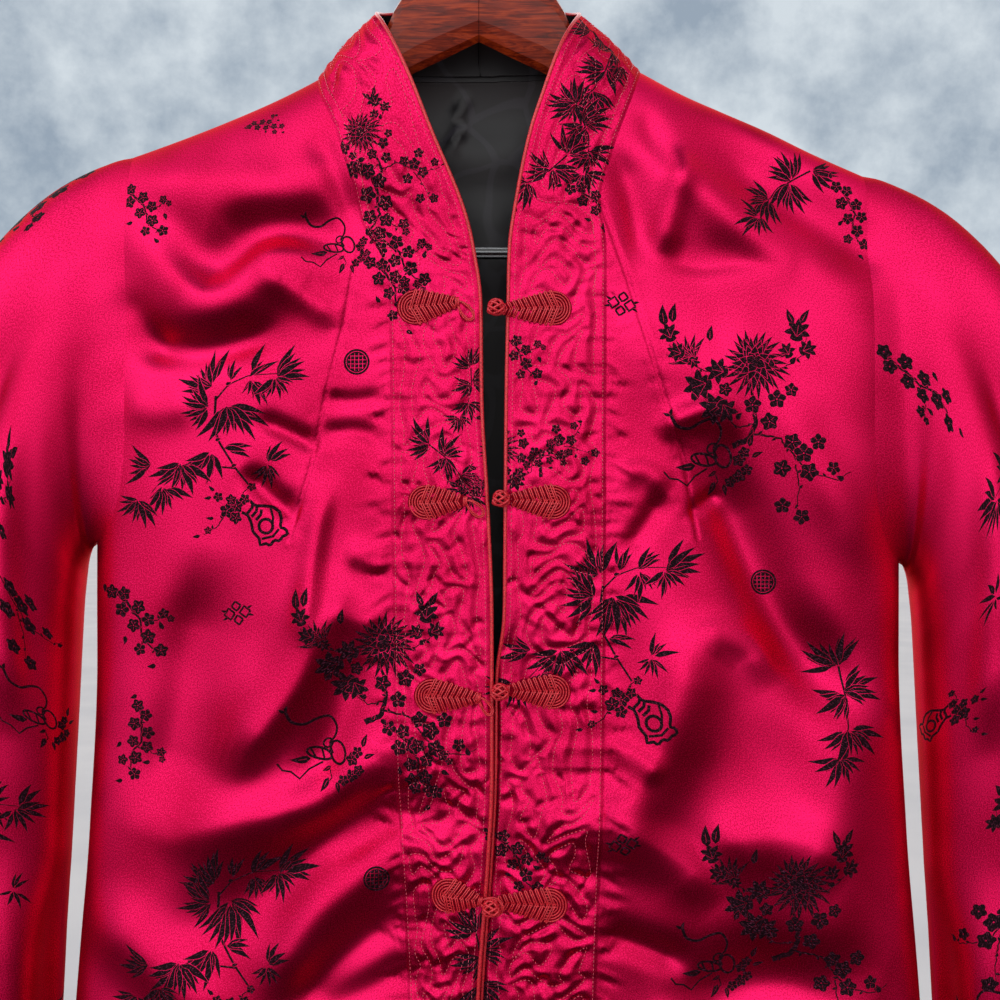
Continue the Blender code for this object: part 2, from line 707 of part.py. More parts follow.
def own_material(node, finish):
    """Principled material of one piece."""
    name, colour, roughness, metallic = finish
    material = bpy.data.materials.new(f"{name}_{node}")
    material.use_nodes = True
    shader = material.node_tree.nodes["Principled BSDF"]
    shader.inputs["Base Color"].default_value = (*colour, 1)
    shader.inputs["Roughness"].default_value = roughness
    shader.inputs["Metallic"].default_value = metallic
    material.diffuse_color = (*colour, 1)
    return material


def in_metres(points):
    """Points of a table or a grid in metres, as one list."""
    return [tuple(float(value) * MM for value in point) for point in points]


def mesh_object(name, points, faces, finish, collection):
    """Object with a smooth mesh made of points in millimetres."""
    mesh = bpy.data.meshes.new(name)
    mesh.from_pydata(in_metres(points), [], faces)
    mesh.validate()
    mesh.shade_smooth()
    item = bpy.data.objects.new(name, mesh)
    item.data.materials.append(own_material(name, finish))
    collection.objects.link(item)
    return item


def grid_faces(rows, columns, ring, flip):
    """Quads of a grid of rows by columns, closed along its rows when ring is set."""
    faces = []
    for i in range(rows - 1):
        for j in range(columns if ring else columns - 1):
            k = (j + 1) % columns
            quad = (i * columns + j, i * columns + k, (i + 1) * columns + k, (i + 1) * columns + j)
            faces.append(quad[::-1] if flip else quad)
    return faces


def cloth_piece(name, grid, finish, collection, wall=CLOTH_WALL, ring=False, flip=False):
    """Cloth wall whose outer face is the grid; its thickness goes inwards."""
    rows, columns = len(grid), len(grid[0])
    points = [point for row in grid for point in row]
    faces = grid_faces(rows, columns, ring, flip)
    item = mesh_object(name, points, faces, finish, collection)
    thickness = item.modifiers.new("wall", "SOLIDIFY")
    thickness.thickness = wall * MM
    thickness.offset = -1
    return item


def tube(name, route, radius, finish, collection, bevel_resolution=2):
    """Round wire or piping along a route."""
    curve = bpy.data.curves.new(name, "CURVE")
    curve.dimensions = "3D"
    curve.bevel_depth = radius * MM
    curve.bevel_resolution = bevel_resolution
    curve.use_fill_caps = True
    spline = curve.splines.new("POLY")
    spline.points.add(len(route) - 1)
    for point, place in zip(spline.points, in_metres(route)):
        point.co = (*place, 1)
    curve.materials.append(own_material(name, finish))
    item = bpy.data.objects.new(name, curve)
    collection.objects.link(item)
    return item


def hidden_tool(item, collection):
    """Marks an object that only cuts or joins another one."""
    for owner in list(item.users_collection):
        owner.objects.unlink(item)
    collection.objects.link(item)
    item.hide_render = True
    item.display_type = "WIRE"
    return item


def combine(item, tool, operation):
    """Cuts or joins an object with a hidden tool."""
    modifier = item.modifiers.new(f"{operation.lower()}_{tool.name}", "BOOLEAN")
    modifier.operation = operation
    modifier.object = tool


def round_cutter(name, radius, length, place, turn, cutters):
    """Hidden cylinder for a socket."""
    bpy.ops.mesh.primitive_cylinder_add(
        vertices=16, radius=radius * MM, depth=length * MM, location=in_metres([place])[0]
    )
    item = bpy.context.object
    item.name = name
    item.rotation_euler = turn
    return hidden_tool(item, cutters)


def build_fronts(model):
    """Side parts and quilted centre bands of both fronts."""
    for side, side_name in SIDE_NAMES.items():
        grid = np.array(front_columns(side)).transpose(1, 0, 2)
        cloth_piece(f"front_{side_name}", grid, SATIN, model, flip=side == LEFT)
        band = band_rows(side)
        cloth_piece(f"band_{side_name}", band, SATIN, model, flip=side == RIGHT)


def build_back(model):
    """Back panel and its lining."""
    grid = np.array(back_columns()).transpose(1, 0, 2)
    cloth_piece("back", grid, SATIN, model, flip=True)
    lining = lining_back_rows()
    cloth_piece("lining_back", lining, LINING, model, wall=LINING_WALL, flip=True)


def build_sleeves(model):
    """Both sleeves."""
    for side, side_name in SIDE_NAMES.items():
        rings = sleeve_rings(side)
        cloth_piece(f"sleeve_{side_name}", rings, SATIN, model, ring=True, flip=side == LEFT)


def build_edges(model):
    """Collar lining and piping."""
    rows = lining_collar_rows()
    cloth_piece("lining_collar", rows, LINING, model, wall=LINING_WALL)
    for side, side_name in SIDE_NAMES.items():
        route = piping_route(side)
        tube(f"piping_{side_name}", route, PIPING_RADIUS, CORD, model, bevel_resolution=1)


def frog_head(frog, cutters):
    """Hidden ring or ball that becomes the loop or the knot at a plaque's tip."""
    place = in_metres([(frog.head_x, frog.head_y, frog.head_z)])[0]
    radius = frog.radius * MM
    if frog.side == LEFT:
        bpy.ops.mesh.primitive_torus_add(
            major_segments=14,
            minor_segments=6,
            major_radius=radius,
            minor_radius=LOOP_CORD_RADIUS * MM,
            location=place,
            rotation=(math.pi / 2, 0, 0),
        )
    else:
        bpy.ops.mesh.primitive_uv_sphere_add(
            segments=10, ring_count=6, radius=radius, location=place
        )
    item = bpy.context.object
    item.name = f"{frog.name}_head"
    return hidden_tool(item, cutters)


def build_frogs(model, cutters):
    """Plaques of the frog fastenings with their loops and knots."""
    for frog in FROG_ROWS:
        rows, flip = frog_rows(frog), frog.side == LEFT
        plaque = cloth_piece(frog.name, rows, CORD, model, wall=FROG_THICKNESS, flip=flip)
        plaque.modifiers["wall"].offset = 1
        combine(plaque, frog_head(frog, cutters), "UNION")


def build_arms(model, cutters):
    """Both wooden arms with sockets for the hook's stem and the bar."""
    stem_radius = WIRE_RADIUS + WIRE_SOCKET_CLEARANCE
    stem_length = WIRE_SOCKET_TOP_Z - WIRE_SOCKET_FOOT_Z
    stem_place = (0, 0, (WIRE_SOCKET_TOP_Z + WIRE_SOCKET_FOOT_Z) / 2)
    stem = round_cutter("stem_socket", stem_radius, stem_length, stem_place, (0, 0, 0), cutters)
    bar_radius = BAR_RADIUS + BAR_SOCKET_CLEARANCE
    bar_place, turn = (0, 0, BAR_Z), (0, math.pi / 2, 0)
    bar_length = 2 * (BAR_HALF_LENGTH + BAR_SOCKET_CLEARANCE)
    bar = round_cutter("bar_socket", bar_radius, bar_length, bar_place, turn, cutters)
    for side, side_name in SIDE_NAMES.items():
        rings = [arm_ring(row, side) for row in ARM_ROWS]
        points = [point for ring in rings for point in ring]
        faces = grid_faces(len(rings), ARM_SIDES, True, side == LEFT)
        first, last = tuple(range(ARM_SIDES)), tuple(range(len(points) - ARM_SIDES, len(points)))
        if side == LEFT:
            faces += [first, last[::-1]]
        else:
            faces += [first[::-1], last]
        arm = mesh_object(f"hanger_{side_name}", points, faces, WOOD, model)
        combine(arm, stem, "DIFFERENCE")
        combine(arm, bar, "DIFFERENCE")


def build_metal(model):
    """Hook and trouser bar."""
    tube("hanger_hook", hook_route(), WIRE_RADIUS, WIRE, model)
    bar_route = [(-BAR_HALF_LENGTH, 0, BAR_Z), (BAR_HALF_LENGTH, 0, BAR_Z)]
    tube("hanger_bar", bar_route, BAR_RADIUS, CLEAR_BAR, model)


def main():
    """Builds the whole model."""
    clear_scene()
    model = new_collection(MODEL_NAME)
    cutters = new_collection("cutters")
    build_fronts(model)
    build_back(model)
    build_sleeves(model)
    build_edges(model)
    build_frogs(model, cutters)
    build_arms(model, cutters)
    build_metal(model)


main()
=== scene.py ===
"""Tang jacket on a wooden hanger: satin brocade cloth, quilted bands, cord frogs and the hanger.

All sizes are in millimetres in the hanger's frame: +X right, +Z up, the jacket's front towards -Y,
and the origin under the hook's crown. Meshes are made in metres. Left and right are a viewer's.
"""

from __future__ import annotations

import json
import logging
import math
from dataclasses import dataclass
from enum import Enum, member
from typing import Callable, ClassVar, NamedTuple, Sequence

import bpy
import numpy as np
from bpy.types import ID, Material, Node, NodeSocket, NodeTree, Object
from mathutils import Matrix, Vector
from mathutils.bvhtree import BVHTree
from mathutils.geometry import delaunay_2d_cdt
from mathutils.kdtree import KDTree

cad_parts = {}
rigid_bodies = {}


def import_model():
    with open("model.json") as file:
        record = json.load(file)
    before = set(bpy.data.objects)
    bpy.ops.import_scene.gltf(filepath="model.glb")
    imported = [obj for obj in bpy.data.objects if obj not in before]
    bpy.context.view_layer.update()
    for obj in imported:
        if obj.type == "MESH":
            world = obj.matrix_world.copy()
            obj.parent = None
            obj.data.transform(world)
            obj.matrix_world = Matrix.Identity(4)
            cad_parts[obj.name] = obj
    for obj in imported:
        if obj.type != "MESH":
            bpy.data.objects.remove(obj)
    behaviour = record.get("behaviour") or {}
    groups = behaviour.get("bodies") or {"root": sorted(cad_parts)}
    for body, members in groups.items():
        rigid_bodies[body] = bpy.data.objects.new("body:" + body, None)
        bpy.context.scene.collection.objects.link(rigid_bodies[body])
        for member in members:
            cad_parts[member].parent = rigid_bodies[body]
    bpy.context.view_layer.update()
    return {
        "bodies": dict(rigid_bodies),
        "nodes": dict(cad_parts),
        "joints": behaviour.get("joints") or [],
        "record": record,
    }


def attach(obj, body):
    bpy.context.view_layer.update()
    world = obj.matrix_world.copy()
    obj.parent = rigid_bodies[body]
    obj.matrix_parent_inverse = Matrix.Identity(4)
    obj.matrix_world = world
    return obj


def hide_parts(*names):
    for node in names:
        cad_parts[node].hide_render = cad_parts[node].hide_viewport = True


LOG = logging.getLogger("tang_jacket")
MM = 0.001
Array = np.ndarray
Shape = tuple[Array, bool]
Inputs = dict[str | int, object]
BROCADE_SLOT, LINING_SLOT, CORD_SLOT = "red_satin_brocade", "black_lining", "coral_red_cord"


class Side(Enum):
    """A viewer's side of the jacket; the value is its sign on the X axis."""

    LEFT = -1
    RIGHT = 1

    @property
    def word(self) -> str:
        """The side as it is written in names."""
        return self.name.lower()


class Face(Enum):
    """Front or back of the body; the value is its sign on the Y axis."""

    FRONT = -1
    BACK = 1


# ---------------------------------------------------------------- sizes


class BodyRow(NamedTuple):
    """Level section of the body."""

    z: float
    half_width: float
    front_depth: float
    back_depth: float


class LineRow(NamedTuple):
    """Point of the shoulder line or of the neckline."""

    x: float
    z: float


class BandRow(NamedTuple):
    """Outer line of a centre band and the free edge that it is joined to."""

    z: float
    outer_x: float
    edge_x: float
    edge_y: float
    edge_z: float


class CollarRow(NamedTuple):
    """Collar's top edge behind the shoulders, by its seam's distance from the centre back."""

    seam_x: float
    edge_x: float
    edge_y: float
    edge_z: float


class SleeveRow(NamedTuple):
    """Sleeve section, by how far out from the armhole and below the shoulder point it lies."""

    outer_out: float
    outer_drop: float
    inner_out: float
    inner_drop: float
    half_depth: float


class Fold(NamedTuple):
    """Fold along a curve through (x, z) points; below is its lower flank's width over its upper's."""

    path: tuple[tuple[float, float], ...]
    width: float
    depth: float
    below: float = 1.0


def table_of(kind: type, *values: tuple) -> tuple:
    """Rows of a table.

    Args:
        kind: named tuple that each row is.
        values: each row's values.

    Returns:
        The rows in order.
    """
    return tuple(kind(*row) for row in values)


BODY_ROWS = table_of(
    BodyRow,
    (-745, 242, 32, 28), (-640, 236, 34, 30), (-540, 228, 36, 31), (-450, 224, 37, 31), (-385, 224, 37, 31),
    (-300, 224, 36, 30), (-200, 224, 34, 29), (-80, 224, 32, 28),
)
SHOULDER_ROWS = table_of(
    LineRow,
    (-210, -174), (-175, -162), (-147, -151.5), (-115, -138), (-90, -125.5), (-60, -108), (0, -86),
    (60, -105), (90.5, -121.5), (115, -134.5), (134.5, -143), (159, -153.5), (186, -166.5), (222, -182),
)
BACK_NECK_ROWS = table_of(
    LineRow,
    (-90, -125.5), (-65, -121), (-30, -118.5), (0, -118), (30, -118), (65, -119), (90.5, -121.5),
)
BAND_ROWS = {
    Side.LEFT: table_of(
        BandRow,
        (-745, -36.4, -4.4, -33, -745), (-629, -38, -0.2, -35, -629), (-554, -41.7, 5.2, -36.5, -554),
        (-511, -44.4, 7.3, -37.5, -511), (-425, -45.9, 7.3, -38, -425), (-366, -46.5, 5.2, -38, -366),
        (-307, -47.1, 1.9, -38, -307), (-252, -48.3, 1.4, -38, -252), (-234, -50.5, -1.3, -38.5, -234),
        (-212, -62.7, -5, -39, -214.4), (-189, -68.3, -12.9, -40, -191.7), (-171, -74, -24.5, -40, -165.6),
        (-151.5, -81, -38.3, -37, -129.3), (-141, -86, -51.2, -30, -102.8), (-125.5, -90, -58.5, -10, -90),
    ),
    Side.RIGHT: table_of(
        BandRow,
        (-745, 62, -2.3, -28, -745), (-629, 63.7, 1.9, -30, -629), (-554, 66, 7.2, -31.5, -554),
        (-511, 67.5, 9.4, -32.5, -511), (-455, 68.3, 9.9, -33, -455), (-425, 68.5, 14.2, -37, -425),
        (-366, 68.6, 14.7, -38, -366), (-307, 68.8, 15.2, -38, -307), (-252, 69, 16.3, -38, -252),
        (-227, 69.1, 16.8, -38.5, -227), (-200.5, 65.9, 20, -39, -203.6), (-173, 72.6, 28, -40, -164),
        (-152, 80, 35.8, -38, -141), (-140, 84.5, 44.2, -35, -115.5), (-121.5, 90.5, 57.5, -10, -90),
    ),
}
COLLAR_ROWS = table_of(
    CollarRow,
    (0, 0, 23.5, -76), (25, 18, 22, -76.5), (50, 38, 17, -80), (75, 54, 6, -86), (90, 58.5, -10, -90),
)
SLEEVE_ROWS = table_of(
    SleeveRow,
    (14, 3, 24, 219, 27), (40, 16, 27, 224, 33), (68, 42, 29, 231, 38), (92, 82, 30, 240, 41),
    (110, 132, 31, 252, 42), (121, 190, 32, 272, 42), (128, 265, 34, 315, 41), (131, 350, 37, 375, 38),
    (132, 445, 41, 455, 35), (132, 545, 46, 548, 33),
)

FRONT_FOLDS = table_of(
    Fold,
    # left front, from the shoulder down
    (((-225, -200), (-198, -188), (-171, -187), (-139, -192), (-101, -196), (-72, -178),
      (-58, -151)), 17, 4.6),
    (((-219, -189), (-193, -198), (-171, -217), (-149, -231), (-132, -228), (-119, -218), (-106, -215),
      (-85, -219), (-55, -237)), 15, -5.6, 0.9),
    (((-225, -205), (-198, -207), (-176, -219), (-165, -236), (-147, -253), (-134, -251), (-119, -237),
      (-109, -231), (-90, -234), (-63, -253)), 12, 6.5, 1.5),
    (((-90, -157), (-80, -178), (-73, -194), (-60, -221)), 7, -3),
    (((-123, -238), (-104, -247), (-85, -258), (-68, -267)), 7, 3.0, 1.2),
    (((-203, -267), (-176, -277), (-149, -280), (-123, -274), (-96, -262)), 12, -7, 0.9),
    (((-203, -248), (-187, -259), (-175, -275), (-166, -292)), 9, -3),
    (((-198, -305), (-176, -312), (-149, -307)), 11, 3),
    (((-123, -316), (-104, -324), (-82, -335)), 6, -3.4, 0.8),
    (((-88, -306), (-69, -308), (-47, -305)), 5, -1.8, 0.9),
    (((-88, -328), (-68, -324), (-46, -329)), 5.5, -2.0, 0.9),
    (((-74, -388), (-60, -391), (-45, -394)), 7, 2.2), (((-82, -417), (-66, -423), (-50, -431)), 9, 2.6),
    # from the dart down to the hem
    (((-129, -343), (-111, -360), (-93, -374)), 8, -5, 0.7),
    (((-77, -345), (-83, -366), (-88, -393), (-91, -420), (-96, -442)), 8, 4, 0.7),
    (((-75, -393), (-86, -431), (-98, -458), (-112, -478), (-125, -496), (-138, -520)), 20, 8.5, 0.6),
    (((-57, -436), (-68, -458), (-74, -475), (-82, -493), (-89, -507), (-104, -522)), 12, -5),
    (((-148, -383), (-152, -415), (-157, -442), (-161, -469), (-169, -501), (-182, -544)), 15, -8, 1.7),
    (((-26, -484), (-50, -498), (-77, -517), (-105, -529), (-131, -534), (-155, -542),
      (-176, -556)), 12, 6.5, 1.5),
    (((-15, -503), (-39, -519), (-63, -531), (-82, -544), (-101, -560), (-123, -579), (-149, -590),
      (-187, -588)), 21, -7, 0.75), (((-20, -526), (-44, -535), (-63, -547), (-80, -558)), 7, -2.0),
    (((-26, -536), (-43, -548), (-68, -565), (-86, -580), (-101, -606), (-116, -641)), 13, 6, 1.1),
    (((-31, -579), (-63, -600), (-90, -624), (-106, -651)), 12, -5, 0.8),
    (((-26, -608), (-63, -626), (-101, -641)), 12, -4, 0.8),
    (((-225, -579), (-191, -600), (-171, -616), (-147, -636), (-128, -662)), 18, 6),
    (((-124, -630), (-132, -689), (-134, -742)), 20, -6),
    (((-175, -630), (-182, -684), (-179, -742)), 20, 5), (((-74, -641), (-68, -694), (-71, -742)), 16, 4),
    # right front
    (((87, -146), (98, -170), (110, -194)), 7, -2.5),
    (((71, -167), (82, -194), (86, -212), (92, -241)), 9, -4),
    (((111, -167), (106, -195), (102, -212), (96, -237)), 8, 4.5),
    (((92, -162), (119, -194), (142, -215), (176, -240)), 12, 4),
    (((87, -224), (106, -230), (120, -233), (140, -231), (170, -234)), 15, -3.4, 0.5),
    (((109, -151), (146, -178), (180, -202), (211, -224), (246, -253)), 24, -12, 0.7),
    (((138, -146), (173, -162), (205, -178), (248, -202)), 18, 4),
    (((69, -248), (92, -278), (123, -288), (168, -280)), 22, 3.5),
    (((95, -329), (113, -315), (127, -313), (140, -333)), 7, 5, 1.3),
    (((72, -348), (88, -345), (104, -356)), 6, 2.4, 1.2), (((102, -356), (91, -373), (78, -391)), 6, -3),
    (((111, -371), (123, -362), (133, -355)), 4.2, -2.8),
    (((116, -315), (128, -345), (140, -372), (152, -401), (168, -432), (187, -458),
      (221, -488)), 18, -13, 0.9), (((146, -291), (173, -329), (195, -366), (216, -415)), 16, 4),
    (((126, -414), (114, -442), (106, -469), (98, -493), (85, -517), (67, -538), (49, -556)), 14, 9, 1.5),
    (((109, -439), (130, -432), (147, -438), (160, -463)), 9, 3.5, 1.3),
    (((64, -491), (82, -497), (101, -509)), 6, 2.6, 1.2),
    (((60, -530), (87, -543), (109, -556), (130, -581)), 10, 4.5, 1.5),
    (((60, -592), (87, -601), (119, -615)), 10, -4, 0.7),
    (((212, -436), (199, -501), (192, -555), (189, -630), (187, -700)), 24, 8),
    (((119, -555), (146, -543), (173, -545), (200, -565)), 14, 6, 1.6),
    (((98, -646), (138, -630), (168, -624), (216, -641)), 26, -10, 0.7),
    (((230, -189), (219, -270), (214, -334), (212, -404)), 38, 8),
    (((87, -630), (99, -673), (96, -742)), 18, 5), (((128, -630), (132, -684), (130, -742)), 18, -5),
)
BACK_FOLDS = table_of(
    Fold,
    (((-170, -215), (-110, -235), (-60, -300)), 20, -6),
    (((-178, -236), (-120, -268), (-78, -330)), 15, 4.5), (((180, -225), (120, -250), (70, -310)), 22, -6),
    (((190, -250), (140, -280), (100, -345)), 15, 4.5, 0.8),
    (((-60, -380), (-90, -500), (-110, -640)), 24, 6), (((-128, -420), (-140, -540), (-160, -700)), 20, -5),
    (((60, -360), (95, -520), (90, -680)), 25, 6), (((-10, -300), (15, -470), (5, -640)), 24, -5),
    (((120, -420), (138, -540), (130, -720)), 16, -5), (((170, -400), (172, -520), (178, -700)), 18, 5),
    (((-40, -152), (0, -162), (44, -151)), 14, -3), (((-30, -560), (-20, -650), (-34, -742)), 20, 4),
    (((30, -600), (40, -670), (34, -744)), 16, -4), (((-190, -560), (-196, -650), (-190, -742)), 18, 5),
)
LINING_FOLDS = table_of(
    Fold,
    (((-8, -122), (-12, -142), (-16, -166)), 3.5, -2.2), (((10, -180), (6, -210), (12, -250)), 16, -2.2),
    (((-20, -190), (-26, -220), (-22, -260)), 14, -1.4),
)

# Folds of a sleeve: x is degrees round from its outer line, front positive, and z minus its length
SLEEVE_FOLDS = table_of(
    Fold,
    (((20, -20), (30, -120), (60, -230)), 18, 5.0), (((60, -30), (70, -110), (95, -200)), 16, -6.0),
    (((100, -60), (110, -150), (120, -240)), 15, 5.0), (((-30, -20), (-45, -140), (-60, -260)), 20, 5.0),
    (((-75, -40), (-85, -140), (-110, -230)), 18, -6.0),
    (((-130, -60), (-125, -150), (-120, -240)), 15, 4.0),
    (((-60, -290), (0, -310), (70, -300)), 14, -5.0, 0.8),
    (((-80, -320), (-10, -345), (90, -330)), 13, 5.0), (((-40, -375), (30, -390), (110, -370)), 14, -4.5),
    (((-110, -350), (-40, -420), (40, -440)), 16, 4.5), (((20, -430), (30, -480), (35, -545)), 18, 4.0),
    (((-60, -440), (-70, -500), (-65, -550)), 18, -4.0), (((120, -300), (125, -400), (130, -520)), 18, 4.0),
    (((170, -300), (165, -400), (160, -520)), 18, -4.0),
)

DARTS = {
    Side.LEFT: table_of(
        LineRow,
        (-63.7, -225), (-66.4, -235.7), (-71.7, -265.7), (-81.4, -303.2), (-89.9, -344.4), (-101.2, -381.9),
    ),
    Side.RIGHT: table_of(
        LineRow,
        (66.2, -202.5), (71.8, -218.1), (80.9, -244.3), (88.4, -269.4), (101.7, -311.7), (111.4, -342.8),
        (118.3, -382.4),
    ),
}

# ---------------------------------------------------------------- fine sizes

SECTION_LOW_Z, SECTION_HIGH_Z, SECTION_ROWS = -765.0, -60.0, 142
SECTION_REACH, SECTION_STEP, SECTION_SAMPLES = 320.0, 1.0, 240
SHOULDER_DEPTH = 33.0
CHART_STEPS = 3
NORMAL_STEP = 0.8
FOLD_STEP = 2.5
FOLD_GAIN = 1.3
FOLD_REACH = 2.6
FOLD_RUN_OUT = 0.3
BAND_STATIONS, COLLAR_STATIONS = 301, 46
EDGE_SMOOTHING = 3.0
BAND_CROWN = 2.0
FINDER_ROWS, FINDER_COLUMNS, FINDER_MARGIN = 240, 9, 0.6
NECK_OVERRUN = 20.0
SLEEVE_ANGLES, SLEEVE_STATIONS = 181, 161
SLEEVE_SETBACK = 1.0
SLEEVE_FADE = 40.0
SLEEVE_TURN = 180.0
RIPPLE_COUNT = 6

LEAF_STEPS = {True: 6, False: 5}
LEAF_FULLNESS = 0.62
LEAF_BEND = 0.05
FIGURE_GAP = 0.24
RIB_WIDTH = 0.22
STROKE_RUN = 5
LEAF_CROWD = 1.45
MOST_STRETCH = 1.8
BLOSSOM_STEPS = 20
LOBED_STEPS = 28
FIGURE_SEED = 400

SMALLEST_SHAPE = 0.05
CLEARANCE_SHARE = 0.42
WELD_DISTANCE = 1e-3
SHOULDER_POINTS, ARMHOLE_POINTS, SIDE_POINTS, HEM_POINTS, NECK_POINTS = 45, 91, 130, 70, 91
LINING_PITCH = 9.0
INNER_PITCH = {True: 4.6, False: 7.5}
RIM_LINING_Z = -300.0
SLEEVE_SIDE_POINTS, SLEEVE_TOP_POINTS, SLEEVE_CUFF_POINTS = 150, 160, 80

DETAIL_NEAR_X, DETAIL_FAR_X = 20.0, 175.0
DETAIL_TOP_Z = -150.0
DETAIL_PITCH = 0.8
DART_REACH = 9.0
PUCKER_EVERY, PUCKER_PITCH = 11, 7.0
QUILT_TOP_Z = -250.0
QUILT_CELL = 16.0
QUILT_LINE_STEP = 0.6
CREASE_AREA = 110
QUILT_MAP_PITCH, QUILT_REACH = 0.4, 7.0
SWELL_STATIONS = (0, 260, 520)
PIPING_RADIUS = 1.12
PIPING_STITCH_IN = 3.2
SEAM_STITCH_IN = 2.3
COLLAR_STITCH_Z = -252.0
STITCH_PITCH, STITCH_LENGTH, STITCH_THREAD = 2.3, 1.6, 0.4

SKY_STRENGTH = 1.15
SKY_STOPS = (
    (-90, 0.02, 0.3), (-45, 0.03, 0.3), (-30, 0.05, 0.3), (-18, 0.34, 0.6), (-6, 0.85, 0.9), (14, 1.14, 1.0),
    (26, 1.2, 1.0), (40, 1.18, 1.0), (56, 0.8, 1.0), (70, 0.28, 0.9), (90, 0.1, 0.8),
)
SIDE_STOPS = (
    (-1.0, 0.5, 0.9), (-0.7, 0.95, 1.0), (-0.3, 1.1, 1.0), (0.0, 1.05, 1.0), (0.3, 1.08, 1.0), (0.6, 0.62, 0.8),
    (1.0, 0.2, 0.6),
)
SQUARE = ((-1, -1), (1, -1), (1, 1), (-1, 1))


# ---------------------------------------------------------------- curves and tables


def direction(turn: float) -> Array:
    """Flat unit vector at an angle from the first axis."""
    return np.array((math.cos(turn), math.sin(turn)))


def unit(vectors: Array) -> Array:
    """Vectors brought to length 1."""
    return vectors / np.maximum(np.linalg.norm(vectors, axis=-1, keepdims=True), 1e-9)


def sideways(path: Array) -> Array:
    """Unit vectors to the left of a flat path, at each of its points."""
    run = unit(np.gradient(path, axis=0))
    return np.stack((-run[:, 1], run[:, 0]), axis=1)


def summed(steps: Array) -> Array:
    """Running total of some steps, from 0."""
    return np.concatenate(([0], np.cumsum(steps)))


def lengths_along(points: Array) -> Array:
    """Length of a polyline up to each of its points."""
    return summed(np.linalg.norm(np.diff(points, axis=0), axis=1))


def between(at: Array, keys: Array, values: Array) -> Array:
    """Values, or points along a second axis, between those given at the keys."""
    if values.ndim == 1:
        return np.interp(at, keys, values)
    return np.stack([np.interp(at, keys, column) for column in values.T], axis=1)


def hermite(keys: Array, values: Array, slopes: Array, at: Array | float) -> Array:
    """Cubic curve through values, or points, with a slope at each of their keys."""
    i = np.clip(np.searchsorted(keys, at, side="right") - 1, 0, len(keys) - 2)
    step = keys[i + 1] - keys[i]
    t = (at - keys[i]) / step
    if values.ndim > 1:
        step, t = step[:, None], t[:, None]
    start = values[i] * (1 + 2 * t) + slopes[i] * step * t
    end = values[i + 1] * (3 - 2 * t) - slopes[i + 1] * step * (1 - t)
    return start * (1 - t) ** 2 + end * t**2


def catmull(keys: Array, values: Array, at: Array) -> Array:
    """Smooth curve through points at uneven keys."""
    return hermite(keys, values, np.gradient(values, keys, axis=0), at)


class SmoothColumn:
    """One column of a table as a smooth curve over its key column that never overshoots."""

    def __init__(self, table: Sequence[NamedTuple], key: str, name: str) -> None:
        pairs = np.array(sorted((getattr(row, key), getattr(row, name)) for row in table), float)
        self.keys, self.values = pairs.T
        slopes = np.diff(self.values) / np.diff(self.keys)
        self.tangents = np.concatenate((slopes[:1], np.zeros(len(slopes) - 1), slopes[-1:]))
        product = slopes[:-1] * slopes[1:]
        total = np.where(product > 0, slopes[:-1] + slopes[1:], 1.0)
        self.tangents[1:-1] = np.where(product > 0, 2 * product / total, 0.0)

    def __call__(self, at: Array | float) -> Array:
        """Value where the key column is `at`."""
        return hermite(self.keys, self.values, self.tangents, np.clip(at, self.keys[0], self.keys[-1]))


def lookup(table: Array, row: Array, column: Array) -> Array:
    """Bilinear values, or points along a third axis, of a table at fractional rows and columns."""
    row = np.clip(row, 0, table.shape[0] - 1.0001)
    column = np.clip(column, 0, table.shape[1] - 1.0001)
    i, j = row.astype(int), column.astype(int)
    a, b = row - i, column - j
    if table.ndim == 3:
        a, b = a[:, None], b[:, None]
    top = table[i, j] * (1 - b) + table[i, j + 1] * b
    low = table[i + 1, j] * (1 - b) + table[i + 1, j + 1] * b
    return top * (1 - a) + low * a


def resampled(points: Sequence, step: float = 0.0, count: int = 0) -> Array:
    """Points at even steps along a polyline: about a step apart, or a count of them."""
    points = np.array(points, float)
    along = lengths_along(points)
    count = count or max(2, int(round(along[-1] / step)) + 1)
    return between(np.linspace(0, along[-1], count), along, points)


def smoothed(values: Array, sigma: float) -> Array:
    """Rows of values with a soft average over their neighbours; both ends stay."""
    reach = int(3 * sigma)
    kernel = np.exp(-((np.arange(-reach, reach + 1) / sigma) ** 2) / 2)
    kernel /= kernel.sum()
    head = 2 * values[:1] - values[1 : reach + 1][::-1]
    tail = 2 * values[-1:] - values[-reach - 1 : -1][::-1]
    padded = np.concatenate((head, values, tail))
    return np.stack([np.convolve(column, kernel, "valid") for column in padded.T], axis=1)


